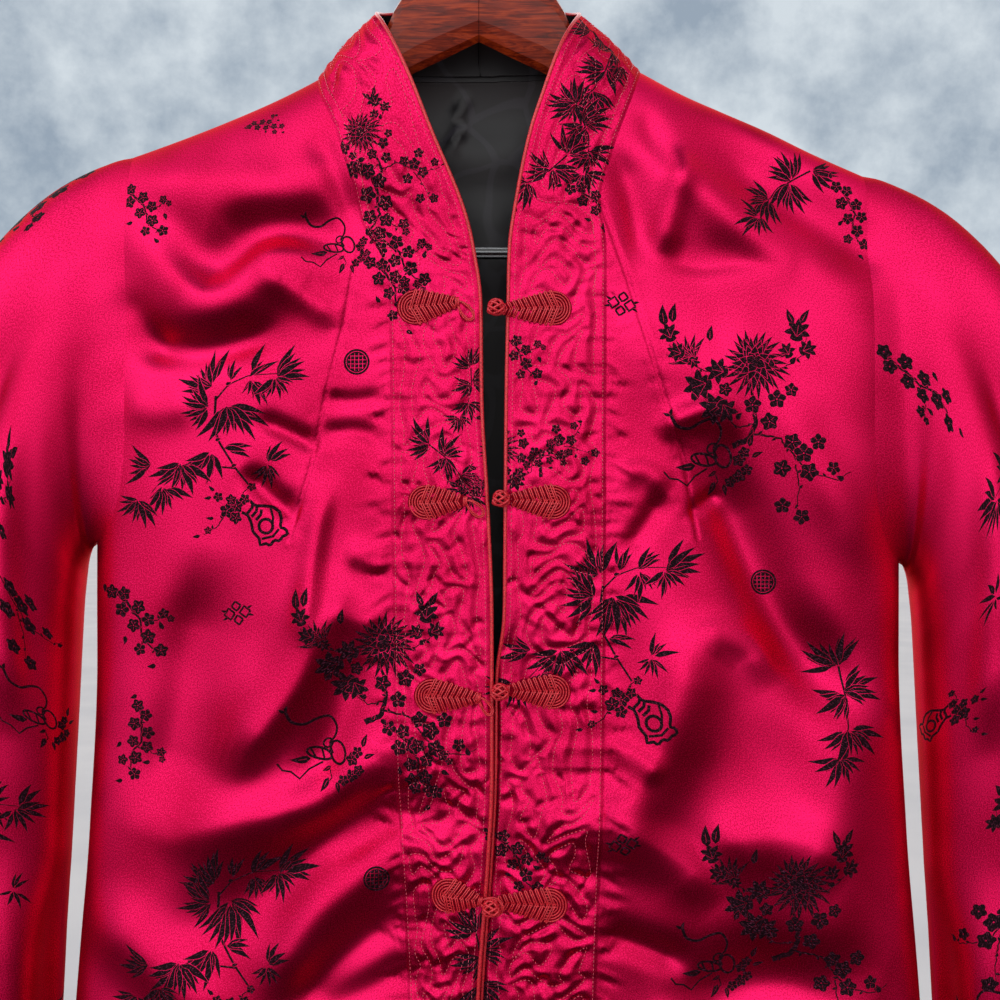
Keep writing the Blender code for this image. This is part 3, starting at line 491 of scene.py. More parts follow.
def fold_heights(folds: Sequence[Fold], x: Array, z: Array) -> Array:
    """How far the folds make the cloth stand out.

    Args:
        folds: table of folds.
        x: points' places from left to right.
        z: points' heights.

    Returns:
        One height for each point, negative in a trough.
    """
    height = np.zeros(len(x))
    for fold in folds:
        corners = np.array(fold.path, float)
        keys = lengths_along(corners)
        t = np.linspace(0, 1, max(9, int(keys[-1] / FOLD_STEP)))
        path = catmull(keys, corners, t * keys[-1]).T
        reach = FOLD_REACH * fold.width * max(fold.below, 1)
        near = (x > path[0].min() - reach) & (x < path[0].max() + reach)
        near = np.nonzero(near & (z > path[1].min() - reach) & (z < path[1].max() + reach))[0]
        if not len(near):
            continue
        run = np.gradient(path, axis=1)
        away_x = x[near, None] - path[0][None, :]
        away_z = z[near, None] - path[1][None, :]
        closest = (away_x**2 + away_z**2).argmin(axis=1)
        pick = np.arange(len(near))
        off_x, off_z = away_x[pick, closest], away_z[pick, closest]
        run_x, run_z = run[:, closest]
        step = np.hypot(run_x, run_z)
        along = (off_x * run_x + off_z * run_z) / step
        across = (off_z * run_x - off_x * run_z) / step
        beyond = np.maximum(np.abs(along) - step, 0)
        lower = across * np.sign(run_x + 1e-9) < 0
        width = np.where(lower, fold.width * fold.below, fold.width)
        share = t[closest] + along / step * (t[1] - t[0])
        ends = np.clip(np.minimum(share, 1 - share) / FOLD_RUN_OUT, 0, 1)
        taper = ends**2 * (3 - 2 * ends)
        height[near] += fold.depth * taper * np.exp(-((across / width) ** 2 + (beyond / fold.width) ** 2))
    return height * FOLD_GAIN


# ---------------------------------------------------------------- cloth charts


@dataclass
class Body:
    """Form of the jacket's body: a flattened tube that hangs from the shoulder line."""

    centre_x: float = 10.7
    hem_z: float = -745.0
    armhole_half_x: float = 203.75
    underarm_drop: float = 216.0
    armhole_curve: float = 60.0
    section_power: float = 3.0
    shoulder_rounding: float = 60.0

    def __post_init__(self) -> None:
        self.half_width = SmoothColumn(BODY_ROWS, "z", "half_width")
        depths = {Face.FRONT: "front_depth", Face.BACK: "back_depth"}
        self.depths = {face: SmoothColumn(BODY_ROWS, "z", name) for face, name in depths.items()}
        self.shoulder_z = SmoothColumn(SHOULDER_ROWS, "x", "z")
        self.neck_z = SmoothColumn(BACK_NECK_ROWS, "x", "z")
        self.outer_x = {side: SmoothColumn(BAND_ROWS[side], "z", "outer_x") for side in Side}

    def neck_x(self, side: Side) -> float:
        """Place of the neck point, where band, front and back meet."""
        return BACK_NECK_ROWS[0 if side is Side.LEFT else -1].x

    def shoulder_point(self, side: Side) -> tuple[float, float]:
        """Place and height of the shoulder line's outer end."""
        x = self.centre_x + side.value * self.armhole_half_x
        return x, float(self.shoulder_z(x))

    def underarm_z(self, side: Side) -> float:
        """Height of the armhole's lowest point."""
        return self.shoulder_point(side)[1] - self.underarm_drop

    def armhole(self, side: Side, angles: Array) -> tuple[Array, Array]:
        """Places and heights of the armhole's edge, by the angle from its top."""
        top, low = self.shoulder_point(side)[1], self.underarm_z(side)
        z = (top + low) / 2 + (top - low) / 2 * np.cos(angles)
        above = np.clip((z - low) / self.armhole_curve, 0, 1)
        full = float(self.half_width(low)) - self.armhole_half_x
        inset = full * np.sqrt(1 - (1 - above) ** 2)
        return self.centre_x + side.value * (self.half_width(z) - inset), z

    def side_x(self, side: Side, z: Array | float) -> Array:
        """Place of the side seam at each height."""
        return self.centre_x + side.value * self.half_width(z)

    def band_heights(self, side: Side) -> Array:
        """Heights of a band's stations from the hem to the neck point."""
        return np.linspace(self.hem_z, float(self.neck_z(self.neck_x(side))), BAND_STATIONS)


class Chart:
    """Map from flat cloth, in millimetres, to the garment's form."""

    outward: float = 1.0

    def place(self, flat: Array) -> Array:
        """Points of the form for flat points."""
        raise NotImplementedError

    def normals(self, flat: Array) -> Array:
        """Outward unit normals of the form at flat points, from its slopes."""
        step = np.array((NORMAL_STEP, 0.0))
        across = self.place(flat + step) - self.place(flat - step)
        along = self.place(flat + step[::-1]) - self.place(flat - step[::-1])
        normal = np.cross(across, along) * self.outward
        length = np.linalg.norm(normal, axis=1, keepdims=True)
        return unit(np.where(length > 1e-6, normal, (0.0, -1.0, 0.0)))


class PanelChart(Chart):
    """Front or back of the body: u runs across, v down from the shoulder line, where it is 0."""

    def __init__(self, body: Body, face: Face, folds: Sequence[Fold]) -> None:
        self.body, self.face, self.folds = body, face, folds
        self.outward = -face.value
        self.extra: list[Callable[[Array, Array], Array]] = []
        self.heights = np.linspace(SECTION_LOW_Z, SECTION_HIGH_Z, SECTION_ROWS)
        reach = np.arange(0, SECTION_REACH, SECTION_STEP)
        turn = np.linspace(0, math.pi / 2, SECTION_SAMPLES)
        power = 2 / body.section_power
        wide, deep = np.sin(turn) ** power, np.clip(np.cos(turn), 0, 1) ** power
        out_rows, deep_rows, length_rows = [], [], []
        for z in self.heights:
            out = wide * float(body.half_width(z))
            depth = deep * float(body.depths[face](z))
            length = summed(np.hypot(np.diff(out), np.diff(depth)))
            out_rows.append(np.interp(reach, length, out) + np.maximum(reach - length[-1], 0))
            deep_rows.append(np.interp(reach, length, depth))
            length_rows.append(length)
        self.out_table, self.deep_table = np.array(out_rows), np.array(deep_rows)
        self.length_table = np.array(length_rows)
        rate = np.hypot(body.shoulder_rounding * np.sin(turn), SHOULDER_DEPTH * np.cos(turn))
        self.drop_keys = body.shoulder_rounding * (1 - np.cos(turn))
        self.drop_lengths = summed((rate[1:] + rate[:-1]) / 2 * np.diff(turn))

    def _row(self, z: Array) -> Array:
        return (z - self.heights[0]) / (self.heights[1] - self.heights[0])

    def down(self, drop: Array) -> Array:
        """Cloth length from the shoulder line down to each drop."""
        full, length = self.body.shoulder_rounding, self.drop_lengths[-1]
        inside = np.interp(drop, self.drop_keys, self.drop_lengths)
        return np.where(drop > full, length + drop - full, np.where(drop < 0, drop, inside))

    def drop(self, down: Array) -> Array:
        """Drop below the shoulder line for each cloth length down."""
        full, length = self.body.shoulder_rounding, self.drop_lengths[-1]
        inside = np.interp(down, self.drop_lengths, self.drop_keys)
        return np.where(down > length, full + down - length, np.where(down < 0, down, inside))

    def surface(self, x: Array, z: Array, bare: Array) -> Array:
        """Depth of the cloth's outer face, from its smooth depth, roundness and folds."""
        body = self.body
        drop = np.clip((body.shoulder_z(x) - z) / body.shoulder_rounding, 0, 1)
        roundness = np.sqrt(1 - (1 - drop) ** 2)
        fade = roundness**2 * bare / body.depths[self.face](z)
        relief = fold_heights(self.folds, x, z)
        for more in self.extra:
            relief = relief + more(x, z)
        return self.face.value * np.maximum(bare * roundness + relief * fade, 0.0)

    def place(self, flat: Array) -> Array:
        """Points of the body for flat points (u, -v)."""
        across, drop = flat[:, 0], self.drop(np.abs(flat[:, 1]))
        x = self.body.centre_x + across
        z = self.body.shoulder_z(x) - drop
        for _ in range(CHART_STEPS):
            row = self._row(z)
            width = lookup(self.length_table, row, np.full(len(z), SECTION_SAMPLES - 1.0))
            over = np.abs(across) > width
            u = np.where(over, np.sign(across) * (2 * width - np.abs(across)), across)
            column = np.abs(u) / SECTION_STEP
            x = self.body.centre_x + np.sign(u) * lookup(self.out_table, row, column)
            bare = lookup(self.deep_table, row, column)
            z = self.body.shoulder_z(x) - drop
        behind = np.where(over, -1.0, 1.0) * np.where(flat[:, 1] > 0, -1.0, 1.0)
        return np.stack((x, self.surface(x, z, bare) * behind, z), axis=1)

    def unfold(self, x: Array, z: Array) -> Array:
        """Flat points (u, -v) of places seen from the front."""
        x, z = np.asarray(x, float), np.asarray(z, float)
        away = np.abs(x - self.body.centre_x)
        half = self.body.half_width(z)
        share = np.clip(away / half, 0, 1) ** (self.body.section_power / 2)
        column = np.arcsin(share) / (math.pi / 2) * (SECTION_SAMPLES - 1)
        u = lookup(self.length_table, self._row(z), column) + np.maximum(away - half, 0)
        return np.stack((np.sign(x - self.body.centre_x) * u, -self.down(self.body.shoulder_z(x) - z)), axis=1)

    def side_edge(self, side: Side) -> Array:
        """Flat line from the neck point along the shoulder, the armhole and the side seam."""
        body = self.body
        along = np.linspace(body.neck_x(side), body.shoulder_point(side)[0], SHOULDER_POINTS)[1:-1]
        shoulder = self.unfold(along, body.shoulder_z(along))
        shoulder[:, 1] = 0.0
        armhole = self.unfold(*body.armhole(side, np.linspace(0, math.pi, ARMHOLE_POINTS)))
        seam_z = np.linspace(body.underarm_z(side), body.hem_z, SIDE_POINTS)[1:]
        return np.concatenate((shoulder, armhole, self.unfold(body.side_x(side, seam_z), seam_z)))

    def hem(self, start: float, end: float, count: int) -> Array:
        """Flat line along the hem between two places, without its ends."""
        x = np.linspace(start, end, count)[1:-1]
        return self.unfold(x, np.full(len(x), self.body.hem_z))


class BandChart(Chart):
    """Centre band with its half collar: t runs up the outer line and round the neck, a across."""

    def __init__(self, side: Side, front: PanelChart, back: PanelChart) -> None:
        self.side, self.outward = side, float(side.value)
        body, names = front.body, ("edge_x", "edge_y", "edge_z")
        heights = body.band_heights(side)
        outer = front.place(front.unfold(body.outer_x[side](heights), heights))
        edge = np.stack([SmoothColumn(BAND_ROWS[side], "z", name)(heights) for name in names], axis=1)
        seam_x = np.linspace(body.neck_x(side), 0, COLLAR_STATIONS)[1:]
        seam = back.place(back.unfold(seam_x, body.neck_z(seam_x)))
        top = np.stack([SmoothColumn(COLLAR_ROWS, "seam_x", name)(np.abs(seam_x)) for name in names], axis=1)
        top[:, 0] *= side.value
        self.neck_station = len(heights) - 1
        self.seam_line = np.concatenate((outer, seam))
        self.edge_line = smoothed(np.concatenate((edge, top)), EDGE_SMOOTHING)
        self.edge_line[-1, 0] = self.seam_line[-1, 0] = 0.0
        self.stations = lengths_along(self.seam_line)
        self.length = float(self.stations[-1])
        self.widths = np.linalg.norm(self.edge_line - self.seam_line, axis=1)
        run = np.gradient(smoothed(self.seam_line, EDGE_SMOOTHING), axis=0)
        normal = np.cross(run, self.edge_line - self.seam_line) * self.outward
        self.lean = unit(smoothed(unit(normal), EDGE_SMOOTHING))
        self.relief: Callable[[Array], Array] | None = None
        self._finder: BVHTree | None = None

    def at(self, t: Array, values: Array) -> Array:
        """The stations' values or points at each distance up the band."""
        return between(t, self.stations, values)

    def base(self, flat: Array) -> Array:
        """Points of the band without its quilting."""
        t, share = flat[:, 0], flat[:, 1] / self.at(flat[:, 0], self.widths)
        start, end = self.at(t, self.seam_line), self.at(t, self.edge_line)
        crown = BAND_CROWN * np.sin(math.pi * np.clip(share, 0, 1))
        return start + (end - start) * share[:, None] + self.at(t, self.lean) * crown[:, None]

    def place(self, flat: Array) -> Array:
        """Points of the band for flat points (t, a)."""
        if self.relief is None:
            return self.base(flat)
        return self.base(flat) + self.at(flat[:, 0], self.lean) * self.relief(flat)[:, None]

    def _find_grid(self) -> None:
        t = np.linspace(0, self.stations[self.neck_station] + NECK_OVERRUN, FINDER_ROWS)
        a = np.linspace(-FINDER_MARGIN, 1 + FINDER_MARGIN, FINDER_COLUMNS)
        grid = np.stack(np.meshgrid(t, a, indexing="ij"), axis=-1).reshape(-1, 2)
        grid[:, 1] *= self.at(grid[:, 0], self.widths)
        seen = self.base(grid)[:, [0, 2]]
        faces = []
        for k in range((FINDER_ROWS - 1) * FINDER_COLUMNS):
            if (k + 1) % FINDER_COLUMNS:
                above = k + FINDER_COLUMNS
                faces += [(k, k + 1, above + 1), (k, above + 1, above)]
        self._finder = BVHTree.FromPolygons([(x, 0.0, z) for x, z in seen.tolist()], faces)
        self._found = (np.array(faces), grid, seen)

    def unfold(self, x: Array, z: Array) -> Array:
        """Flat points (t, a) of places seen from the front, found on the band and just past it."""
        if self._finder is None:
            self._find_grid()
        faces, grid, seen = self._found
        result = np.empty((len(x), 2))
        for n, (px, pz) in enumerate(zip(x, z)):
            index = self._finder.find_nearest(Vector((px, 0.0, pz)))[2]
            a, b, c = seen[faces[index]]
            weights = np.linalg.solve(np.array((b - a, c - a)).T, np.array((px, pz)) - a)
            flat = grid[faces[index]]
            result[n] = flat[0] + weights[0] * (flat[1] - flat[0]) + weights[1] * (flat[2] - flat[0])
        return result


class SleeveChart(Chart):
    """Sleeve: l runs from the armhole to the cuff, w round it, from 0 along its outer line."""

    def __init__(self, side: Side, front: PanelChart, back: PanelChart, folds: Sequence[Fold]) -> None:
        self.folds, self.outward = folds, -float(side.value)
        start_x, top_z = front.body.shoulder_point(side)
        angles = np.linspace(-math.pi, math.pi, SLEEVE_ANGLES)
        ring = front.body.armhole(side, angles)
        front_ring, back_ring = (panel.place(panel.unfold(*ring)) for panel in (front, back))
        rings = [np.where((angles > 0)[:, None], front_ring, back_ring)]
        for row in SLEEVE_ROWS:
            outer = np.array((start_x + side.value * row.outer_out, SLEEVE_SETBACK, top_z - row.outer_drop))
            inner = np.array((start_x + side.value * row.inner_out, SLEEVE_SETBACK, top_z - row.inner_drop))
            ring = (outer + inner) / 2 + (outer - inner) / 2 * np.cos(angles)[:, None]
            ring[:, 1] -= row.half_depth * np.sin(angles)
            rings.append(ring)
        rings = np.array(rings)
        lengths = summed(np.linalg.norm(np.diff(rings, axis=0), axis=2).mean(axis=1))
        self.length = float(lengths[-1])
        self.stations = np.linspace(0, self.length, SLEEVE_STATIONS)
        table = np.array([catmull(lengths, rings[:, k], self.stations) for k in range(len(angles))])
        middle = len(angles) // 2
        halves = [
            (resampled(ring[: middle + 1], count=middle + 1)[:-1], resampled(ring[middle:], count=middle + 1))
            for ring in table.transpose(1, 0, 2)
        ]
        self.table = np.array([np.concatenate(pair) for pair in halves])
        around = np.linalg.norm(np.diff(self.table, axis=1), axis=2).sum(axis=1)
        self.half_round = np.maximum(around / 2, 1.0)
        away = self.table - self.table[:, :-1].mean(axis=1, keepdims=True)
        away[:, :, 2] *= np.linspace(0.2, 1, SLEEVE_STATIONS)[:, None]
        self.away = unit(away)

    def place(self, flat: Array) -> Array:
        """Points of the sleeve for flat points (l, w)."""
        along = flat[:, 0]
        share = flat[:, 1] / np.interp(along, self.stations, self.half_round)
        share = (share + 1) % 2 - 1
        row, column = along / self.stations[1], (share + 1) / 2 * (SLEEVE_ANGLES - 1)
        angle = share * SLEEVE_TURN
        relief = sum(fold_heights(self.folds, angle + k * SLEEVE_TURN, -along) for k in (-2, 0, 2))
        relief = relief * np.clip(along / SLEEVE_FADE, 0, 1) ** 0.5
        return lookup(self.table, row, column) + lookup(self.away, row, column) * relief[:, None]


class Inside(Chart):
    """Chart that lies inside another one; when it is smooth it leaves out a band's quilting."""

    def __init__(self, outer: Chart, inset: float, folds: Sequence[Fold] = (), smooth: bool = False) -> None:
        self.outer, self.inset, self.folds, self.smooth = outer, inset, folds, smooth
        self.outward = outer.outward

    def place(self, flat: Array) -> Array:
        """Points of the outer chart moved in along its normals."""
        if self.smooth:
            relief, self.outer.relief = self.outer.relief, None
        points = self.outer.place(flat)
        inset = np.full(len(flat), self.inset)
        if self.folds:
            inset = inset - fold_heights(self.folds, points[:, 0], points[:, 2])
        if self.inset:
            points = points - self.outer.normals(flat) * inset[:, None]
        if self.smooth:
            self.outer.relief = relief
        return points


# ---------------------------------------------------------------- relief


class ReliefMap:
    """Heights on a fine flat grid, for what is too small for the table of folds."""

    def __init__(self, low: tuple[float, float], high: tuple[float, float], pitch: float) -> None:
        self.low, self.pitch = np.array(low, float), pitch
        self.shape = tuple(int(math.ceil((high[k] - low[k]) / pitch)) + 1 for k in range(2))
        self.heights = np.zeros(self.shape)

    def window(
        self, middle: Array, reach: float, origin: Array
    ) -> tuple[tuple[slice, slice], Array, Array] | None:
        """Part of the grid within reach of a point, and its places from an origin; none outside the grid."""
        start = np.maximum(np.floor((middle - reach - self.low) / self.pitch).astype(int), 0)
        stop = np.minimum(np.ceil((middle + reach - self.low) / self.pitch).astype(int) + 1, self.shape)
        if (stop <= start).any():
            return None
        a, b = (np.arange(start[k], stop[k]) * self.pitch + self.low[k] - origin[k] for k in range(2))
        return (slice(start[0], stop[0]), slice(start[1], stop[1])), a[:, None], b[None, :]

    def distances(self, points: Array, reach: float) -> Array:
        """Distance from each place of the grid to the nearest of some points, up to a reach."""
        nearest = np.full(self.shape, reach)
        for point in points:
            found = self.window(point, reach, point)
            if found:
                nearest[found[0]] = np.minimum(nearest[found[0]], np.hypot(found[1], found[2]))
        return nearest

    def crease(self, start: Array, end: Array, width: float, height: float, bend: float = 0.0) -> None:
        """Add a ridge, or with a negative height a furrow, that fades out at both ends."""
        along = end - start
        length = float(np.hypot(*along))
        found = self.window((start + end) / 2, length / 2 + 3 * width, start)
        if not found or length < self.pitch:
            return
        part, a, b = found
        along = along / length
        share = (a * along[0] + b * along[1]) / length
        inside = np.clip(share, 0, 1)
        off = b * along[0] - a * along[1] - bend * 4 * inside * (1 - inside)
        beyond = (share - inside) * length
        taper = np.sin(math.pi * np.clip(inside, 0.06, 0.94))
        self.heights[part] += height * taper * np.exp(-(off**2 + beyond**2) / width**2)

    def __call__(self, first: Array, second: Array) -> Array:
        """Heights at flat places."""
        return lookup(self.heights, (first - self.low[0]) / self.pitch, (second - self.low[1]) / self.pitch)


class Ripples:
    """Broad, slight waves of cloth, as a sum of sines."""

    def __init__(self, seed: int, height: float, shortest: float, longest: float) -> None:
        rng = np.random.default_rng(seed)
        turns = rng.uniform(0, math.pi, RIPPLE_COUNT)
        lengths = rng.uniform(shortest, longest, RIPPLE_COUNT)
        self.waves = np.stack((np.cos(turns), np.sin(turns)), axis=1) * (2 * math.pi / lengths)[:, None]
        self.phases = rng.uniform(0, 2 * math.pi, RIPPLE_COUNT)
        self.height = height / math.sqrt(RIPPLE_COUNT)

    def __call__(self, first: Array, second: Array) -> Array:
        """Heights at flat places."""
        return self.height * sum(
            np.sin(a * first + b * second + phase) for (a, b), phase in zip(self.waves, self.phases)
        )


# ---------------------------------------------------------------- woven figures


def oval(x: float, y: float, wide: float, high: float, turn: float = 0.0, steps: int = 26) -> Array:
    """Closed oval path whose last point is its first."""
    a = np.linspace(0, 2 * math.pi, steps)
    c, s = math.cos(turn), math.sin(turn)
    u, v = wide / 2 * np.cos(a), high / 2 * np.sin(a)
    return np.stack((x + u * c - v * s, y + u * s + v * c), axis=1)


def wheel(steps: int, turn: float = 0.0) -> tuple[Array, Array]:
    """Even angles round a circle, and its points at those angles and a turn."""
    angles = np.linspace(0, 2 * math.pi, steps, endpoint=False)
    return angles, np.stack((np.cos(angles + turn), np.sin(angles + turn)), axis=1)


class Figure:
    """Woven figure: closed shapes in order, where a later one covers an earlier one."""

    def __init__(self, seed: int, fine: bool) -> None:
        self.rng, self.fine = np.random.default_rng(seed), fine
        self.shapes: list[Shape] = []

    def add(self, outline: Sequence, woven: bool = True) -> None:
        """Add a closed shape of motif thread, or of bare ground."""
        self.shapes.append((np.asarray(outline, float), woven))

    def disc(self, x: float, y: float, size: float, steps: int) -> None:
        """Add a round patch."""
        self.add(oval(x, y, size, size, steps=steps)[:-1])

    def ringed(self, ring: Array, radius: Array, x: float, y: float) -> None:
        """Add a shape by its radius in each direction, edged by a thread of the ground."""
        for extra, woven in ((FIGURE_GAP, False), (0.0, True)):
            self.add(ring * (radius + extra)[:, None] + (x, y), woven)

    def stroke(self, path: Sequence, width: float, tip: float = 1.0, woven: bool = True, step: float = 0) -> None:
        """Add a line along a path.

        Args:
            path: its points.
            width: its width where it starts.
            tip: its end's share of that width.
            woven: whether it is motif thread rather than bare ground.
            step: distance between points that are laid anew along the path, or 0 to keep its own.
        """
        path = resampled(path, step) if step else np.asarray(path, float)
        reach = sideways(path) * (width / 2 * np.linspace(1, tip, len(path))[:, None])
        for start in range(0, len(path) - 1, STROKE_RUN):
            part = slice(start, start + STROKE_RUN + 1)
            self.add(np.concatenate(((path + reach)[part], (path - reach)[part][::-1])), woven)

    def leaf(self, x: float, y: float, turn: float, length: float, width: float, rib: bool = True) -> None:
        """Add a pointed leaf that is edged by a thread of the ground, with its midrib."""
        t = np.linspace(0, 1, LEAF_STEPS[self.fine])
        half = np.sin(math.pi * t**LEAF_FULLNESS) * width / 2
        axis = direction(turn)
        across = np.array((-axis[1], axis[0]))
        middle = np.array((x, y)) + np.outer(t * length, axis)
        middle += np.outer(np.sin(math.pi * t) * length * LEAF_BEND, across)
        for extra, woven in ((FIGURE_GAP, False), (0.0, True)):
            edge = np.outer(half + extra, across)
            tip = np.array(((x, y) + axis * (length + 2 * extra),))
            self.add(np.concatenate(((middle - edge)[1:-1], tip, (middle + edge)[1:-1][::-1], ((x, y),))), woven)
        if rib and self.fine:
            self.stroke(middle[1 : len(t) - 2 : 2], RIB_WIDTH, 0.6, False)

    def leaves(self, leaves: Sequence[tuple], fullness: float) -> None:
        """Add leaves by their place, turn in degrees and length."""
        for x, y, turn, length in leaves:
            self.leaf(x, y, math.radians(turn), length, length * fullness)

    def buds(self, places: Sequence[tuple], most_turn: float, length: float, width: float) -> None:
        """Add small leaves that point anywhere up to a turn."""
        for x, y in places:
            self.leaf(x, y, self.rng.uniform(0, most_turn), length, width, False)

    def fans(self, fans: Sequence[tuple]) -> None:
        """Add fans of bamboo leaves by their joint, first and last direction in degrees, count and length."""
        for x, y, first, last, count, length in fans:
            count = round(LEAF_CROWD * count) if self.fine else count
            for k in self.rng.permutation(count):
                turn = first + (last - first) * (k + self.rng.uniform(-0.3, 0.3)) / max(count - 1, 1)
                turn = math.radians(turn)
                size = length * self.rng.uniform(0.7, 1.2)
                start = self.rng.uniform(0, 0.22) * size
                wide = size * self.rng.uniform(0.18, 0.24)
                place = (x + start * math.cos(turn), y + start * math.sin(turn))
                self.leaf(*place, turn, size, wide, self.rng.random() < 0.15)

    def blossoms(self, blossoms: Sequence[tuple]) -> None:
        """Add five-petalled plum blossoms by their place and size."""
        for x, y, size in blossoms:
            turn = self.rng.uniform(0, 1)
            angles, ring = wheel(BLOSSOM_STEPS)
            self.ringed(ring, size / 2 * (1 - 0.32 * np.abs(np.cos(2.5 * (angles + turn))) ** 3), x, y)
            near, far = 0.12 * size, 0.34 * size
            for k in range(5 if self.fine else 0):
                a = turn + math.pi * (0.2 + 0.4 * k)
                points = [(x + r * math.cos(a), y + r * math.sin(a)) for r in (near, (near + far) / 2, far)]
                self.stroke(points, RIB_WIDTH, 0.6, False)
            self.add(ring[::5] * (0.05 * size) + (x, y), False)

    def lobed_leaf(self, x: float, y: float, turn: float, size: float) -> None:
        """Add a chrysanthemum leaf: a lobed outline with three veins."""
        angles, ring = wheel(LOBED_STEPS, turn)
        self.ringed(ring, size * (0.44 + 0.13 * np.cos(7 * angles) * (np.cos(angles) > -0.7)), x, y)
        base = np.array((x, y)) - 0.25 * size * direction(turn)
        for spread in (-0.7, 0.0, 0.7) if self.fine else ():
            axis = direction(turn + spread)
            self.stroke([base + axis * size * r for r in (0.02, 0.25, 0.5)], RIB_WIDTH, 0.6, False)

    def mum(self, x: float, y: float, size: float, turn: float) -> None:
        """Add a full chrysanthemum: rings of long petals, the outer ones longest below."""
        self.disc(x, y, 0.5 * size, 17)
        for ring, (count, reach) in enumerate(((21, 1.0), (17, 0.76), (13, 0.52), (8, 0.3))):
            for k in self.rng.permutation(count):
                a = 2 * math.pi * (k + 0.5 * ring + self.rng.uniform(-0.2, 0.2)) / count
                droop = 1 + 0.35 * max(0.0, math.cos(a - turn)) + self.rng.uniform(-0.12, 0.12)
                start = reach * size * 0.14
                place = (x + start * math.cos(a), y + start * math.sin(a))
                self.leaf(*place, a, reach * size * 0.42 * droop, size * (0.1 + 0.02 * ring), ring == 0)

    def half_mum(self, x: float, y: float, size: float, turn: float) -> None:
        """Add a chrysanthemum seen from its side: a fan of petals on a cup."""
        c, s = math.cos(turn), math.sin(turn)
        self.disc(x + 0.2 * size * c, y + 0.2 * size * s, 0.6 * size, 15)
        for reach in (1.0, 0.7, 0.45):
            for k in range(7):
                a = turn + math.radians(-66 + 22 * k + self.rng.uniform(-5, 5))
                self.leaf(x, y, a, size * reach * self.rng.uniform(0.75, 0.9), size * 0.16, False)
        self.lobed_leaf(x - 0.1 * size * c, y - 0.1 * size * s, turn + math.pi, size * 0.4)

    def twig(self, points: Sequence[tuple[float, float]], width: float) -> Array:
        """Add a crooked twig with buds and return its path."""
        path = resampled(points, 2.2)
        path[1:-1] += self.rng.uniform(-0.45, 0.45, (len(path) - 2, 2))
        self.stroke(path, width, 0.35)
        self.buds(path[2:-1:4], 2 * math.pi, 2.8, 1.5)
        return path

    def placed(self, place: Placement) -> list[Shape]:
        """Shapes of the figure at a place on the cloth."""
        c, s = direction(math.radians(place.turn))
        flip = np.array((-1.0 if place.mirrored else 1.0, 1.0)) * place.size
        turned = np.array(((c, s), (-s, c)))
        return [(shape * flip @ turned + (place.x, place.z), woven) for shape, woven in self.shapes]


def bamboo(figure: Figure) -> None:
    """Draw a bamboo branch about 100 mm square with its joints and fans of leaves."""
    figure.stroke(((-4, 12), (-5, -2), (-3, -12), (6, -26), (15, -38)), 1.5, 0.7, step=3)
    figure.stroke(((7, -27), (-4, -26), (-18, -24), (-30, -28), (-40, -40)), 1.1, 0.4, step=3)
    figure.stroke(((-4, 10), (3, 18), (14, 23), (30, 24)), 1.0, 0.4, step=3)
    for x, y in ((-5, -2), (-3, -12), (6, -26), (-18, -24), (3, 18)):
        figure.leaf(x - 1.6, y, 0.3, 3.4, 1.8, False)
    figure.fans((
        (-6, 17, 66, 188, 8, 17), (-8, 6, 108, 236, 8, 15), (2, 7, 222, 350, 10, 19), (4, 20, 55, 98, 3, 11),
        (14, 22, 28, 66, 3, 15), (15, 21, 240, 320, 4, 12), (29, 22, -8, 62, 5, 17), (28, 22, 215, 345, 6, 12),
        (0, -16, -22, 12, 3, 13), (-7, -18, 196, 290, 5, 15), (-24, -24, 190, 330, 9, 16),
        (-40, -25, 140, 215, 4, 14), (-34, -37, 220, 345, 6, 13), (-48, -44, 170, 320, 7, 13),
        (24, -24, 20, 80, 3, 12), (24, -25, 205, 320, 4, 10),
    ))


def mum(figure: Figure) -> None:
    """Draw chrysanthemums with leaves and a branch of plum blossom, about 90 by 105 mm."""
    branch = figure.twig(((-9, -38), (0, -34), (3, -26), (2, -14), (-2, -2)), 3.4)
    figure.twig((tuple(branch[6]), (16, -34), (30, -52), (46, -56), (54, -52)), 1.3)
    for points, width in (
        (((3, -26), (-8, -28), (-18, -20), (-26, -12)), 0.9), (((24, -48), (26, -60), (25, -74)), 0.9),
        (((6, 0), (18, 4), (28, 10), (31, 22)), 0.9), (((-6, 4), (-20, 0), (-34, 6), (-44, 16)), 1.0),
    ):
        figure.twig(points, width)
    figure.half_mum(-32, 8, 17, math.radians(125))
    for x, y, turn, size in (
        (-28, -6, 200, 16), (-18, 2, 170, 13), (-20, -18, 215, 16), (-14, -19, 300, 13), (26, 24, 80, 13),
        (20, 13, 120, 9), (31, 14, 20, 10), (-44, 22, 110, 11), (-40, 12, 160, 10),
    ):
        figure.lobed_leaf(x, y, math.radians(turn), size)
    leaves = ((-46, 26, 95, 12), (-42, 28, 80, 11), (28, 28, 60, 9), (24, 28, 115, 9), (-22, 18, 80, 9))
    figure.leaves(leaves, 0.42)
    figure.mum(2, 7, 31, math.radians(-70))
    figure.blossoms((
        (1, -16, 10), (14, -13, 10.5), (10, -25, 10), (22, -36, 10), (28, -42, 11), (17, -50, 10), (31, -52, 10.5),
        (36, -36, 9.5), (44, -50, 8), (18, -70, 9), (28, -76, 9), (-14, -8, 8), (22, -8, 8),
    ))
    figure.buds(((12, 4), (22, 6), (-8, -24), (50, -56), (-30, -14)), 3, 5, 3.2)


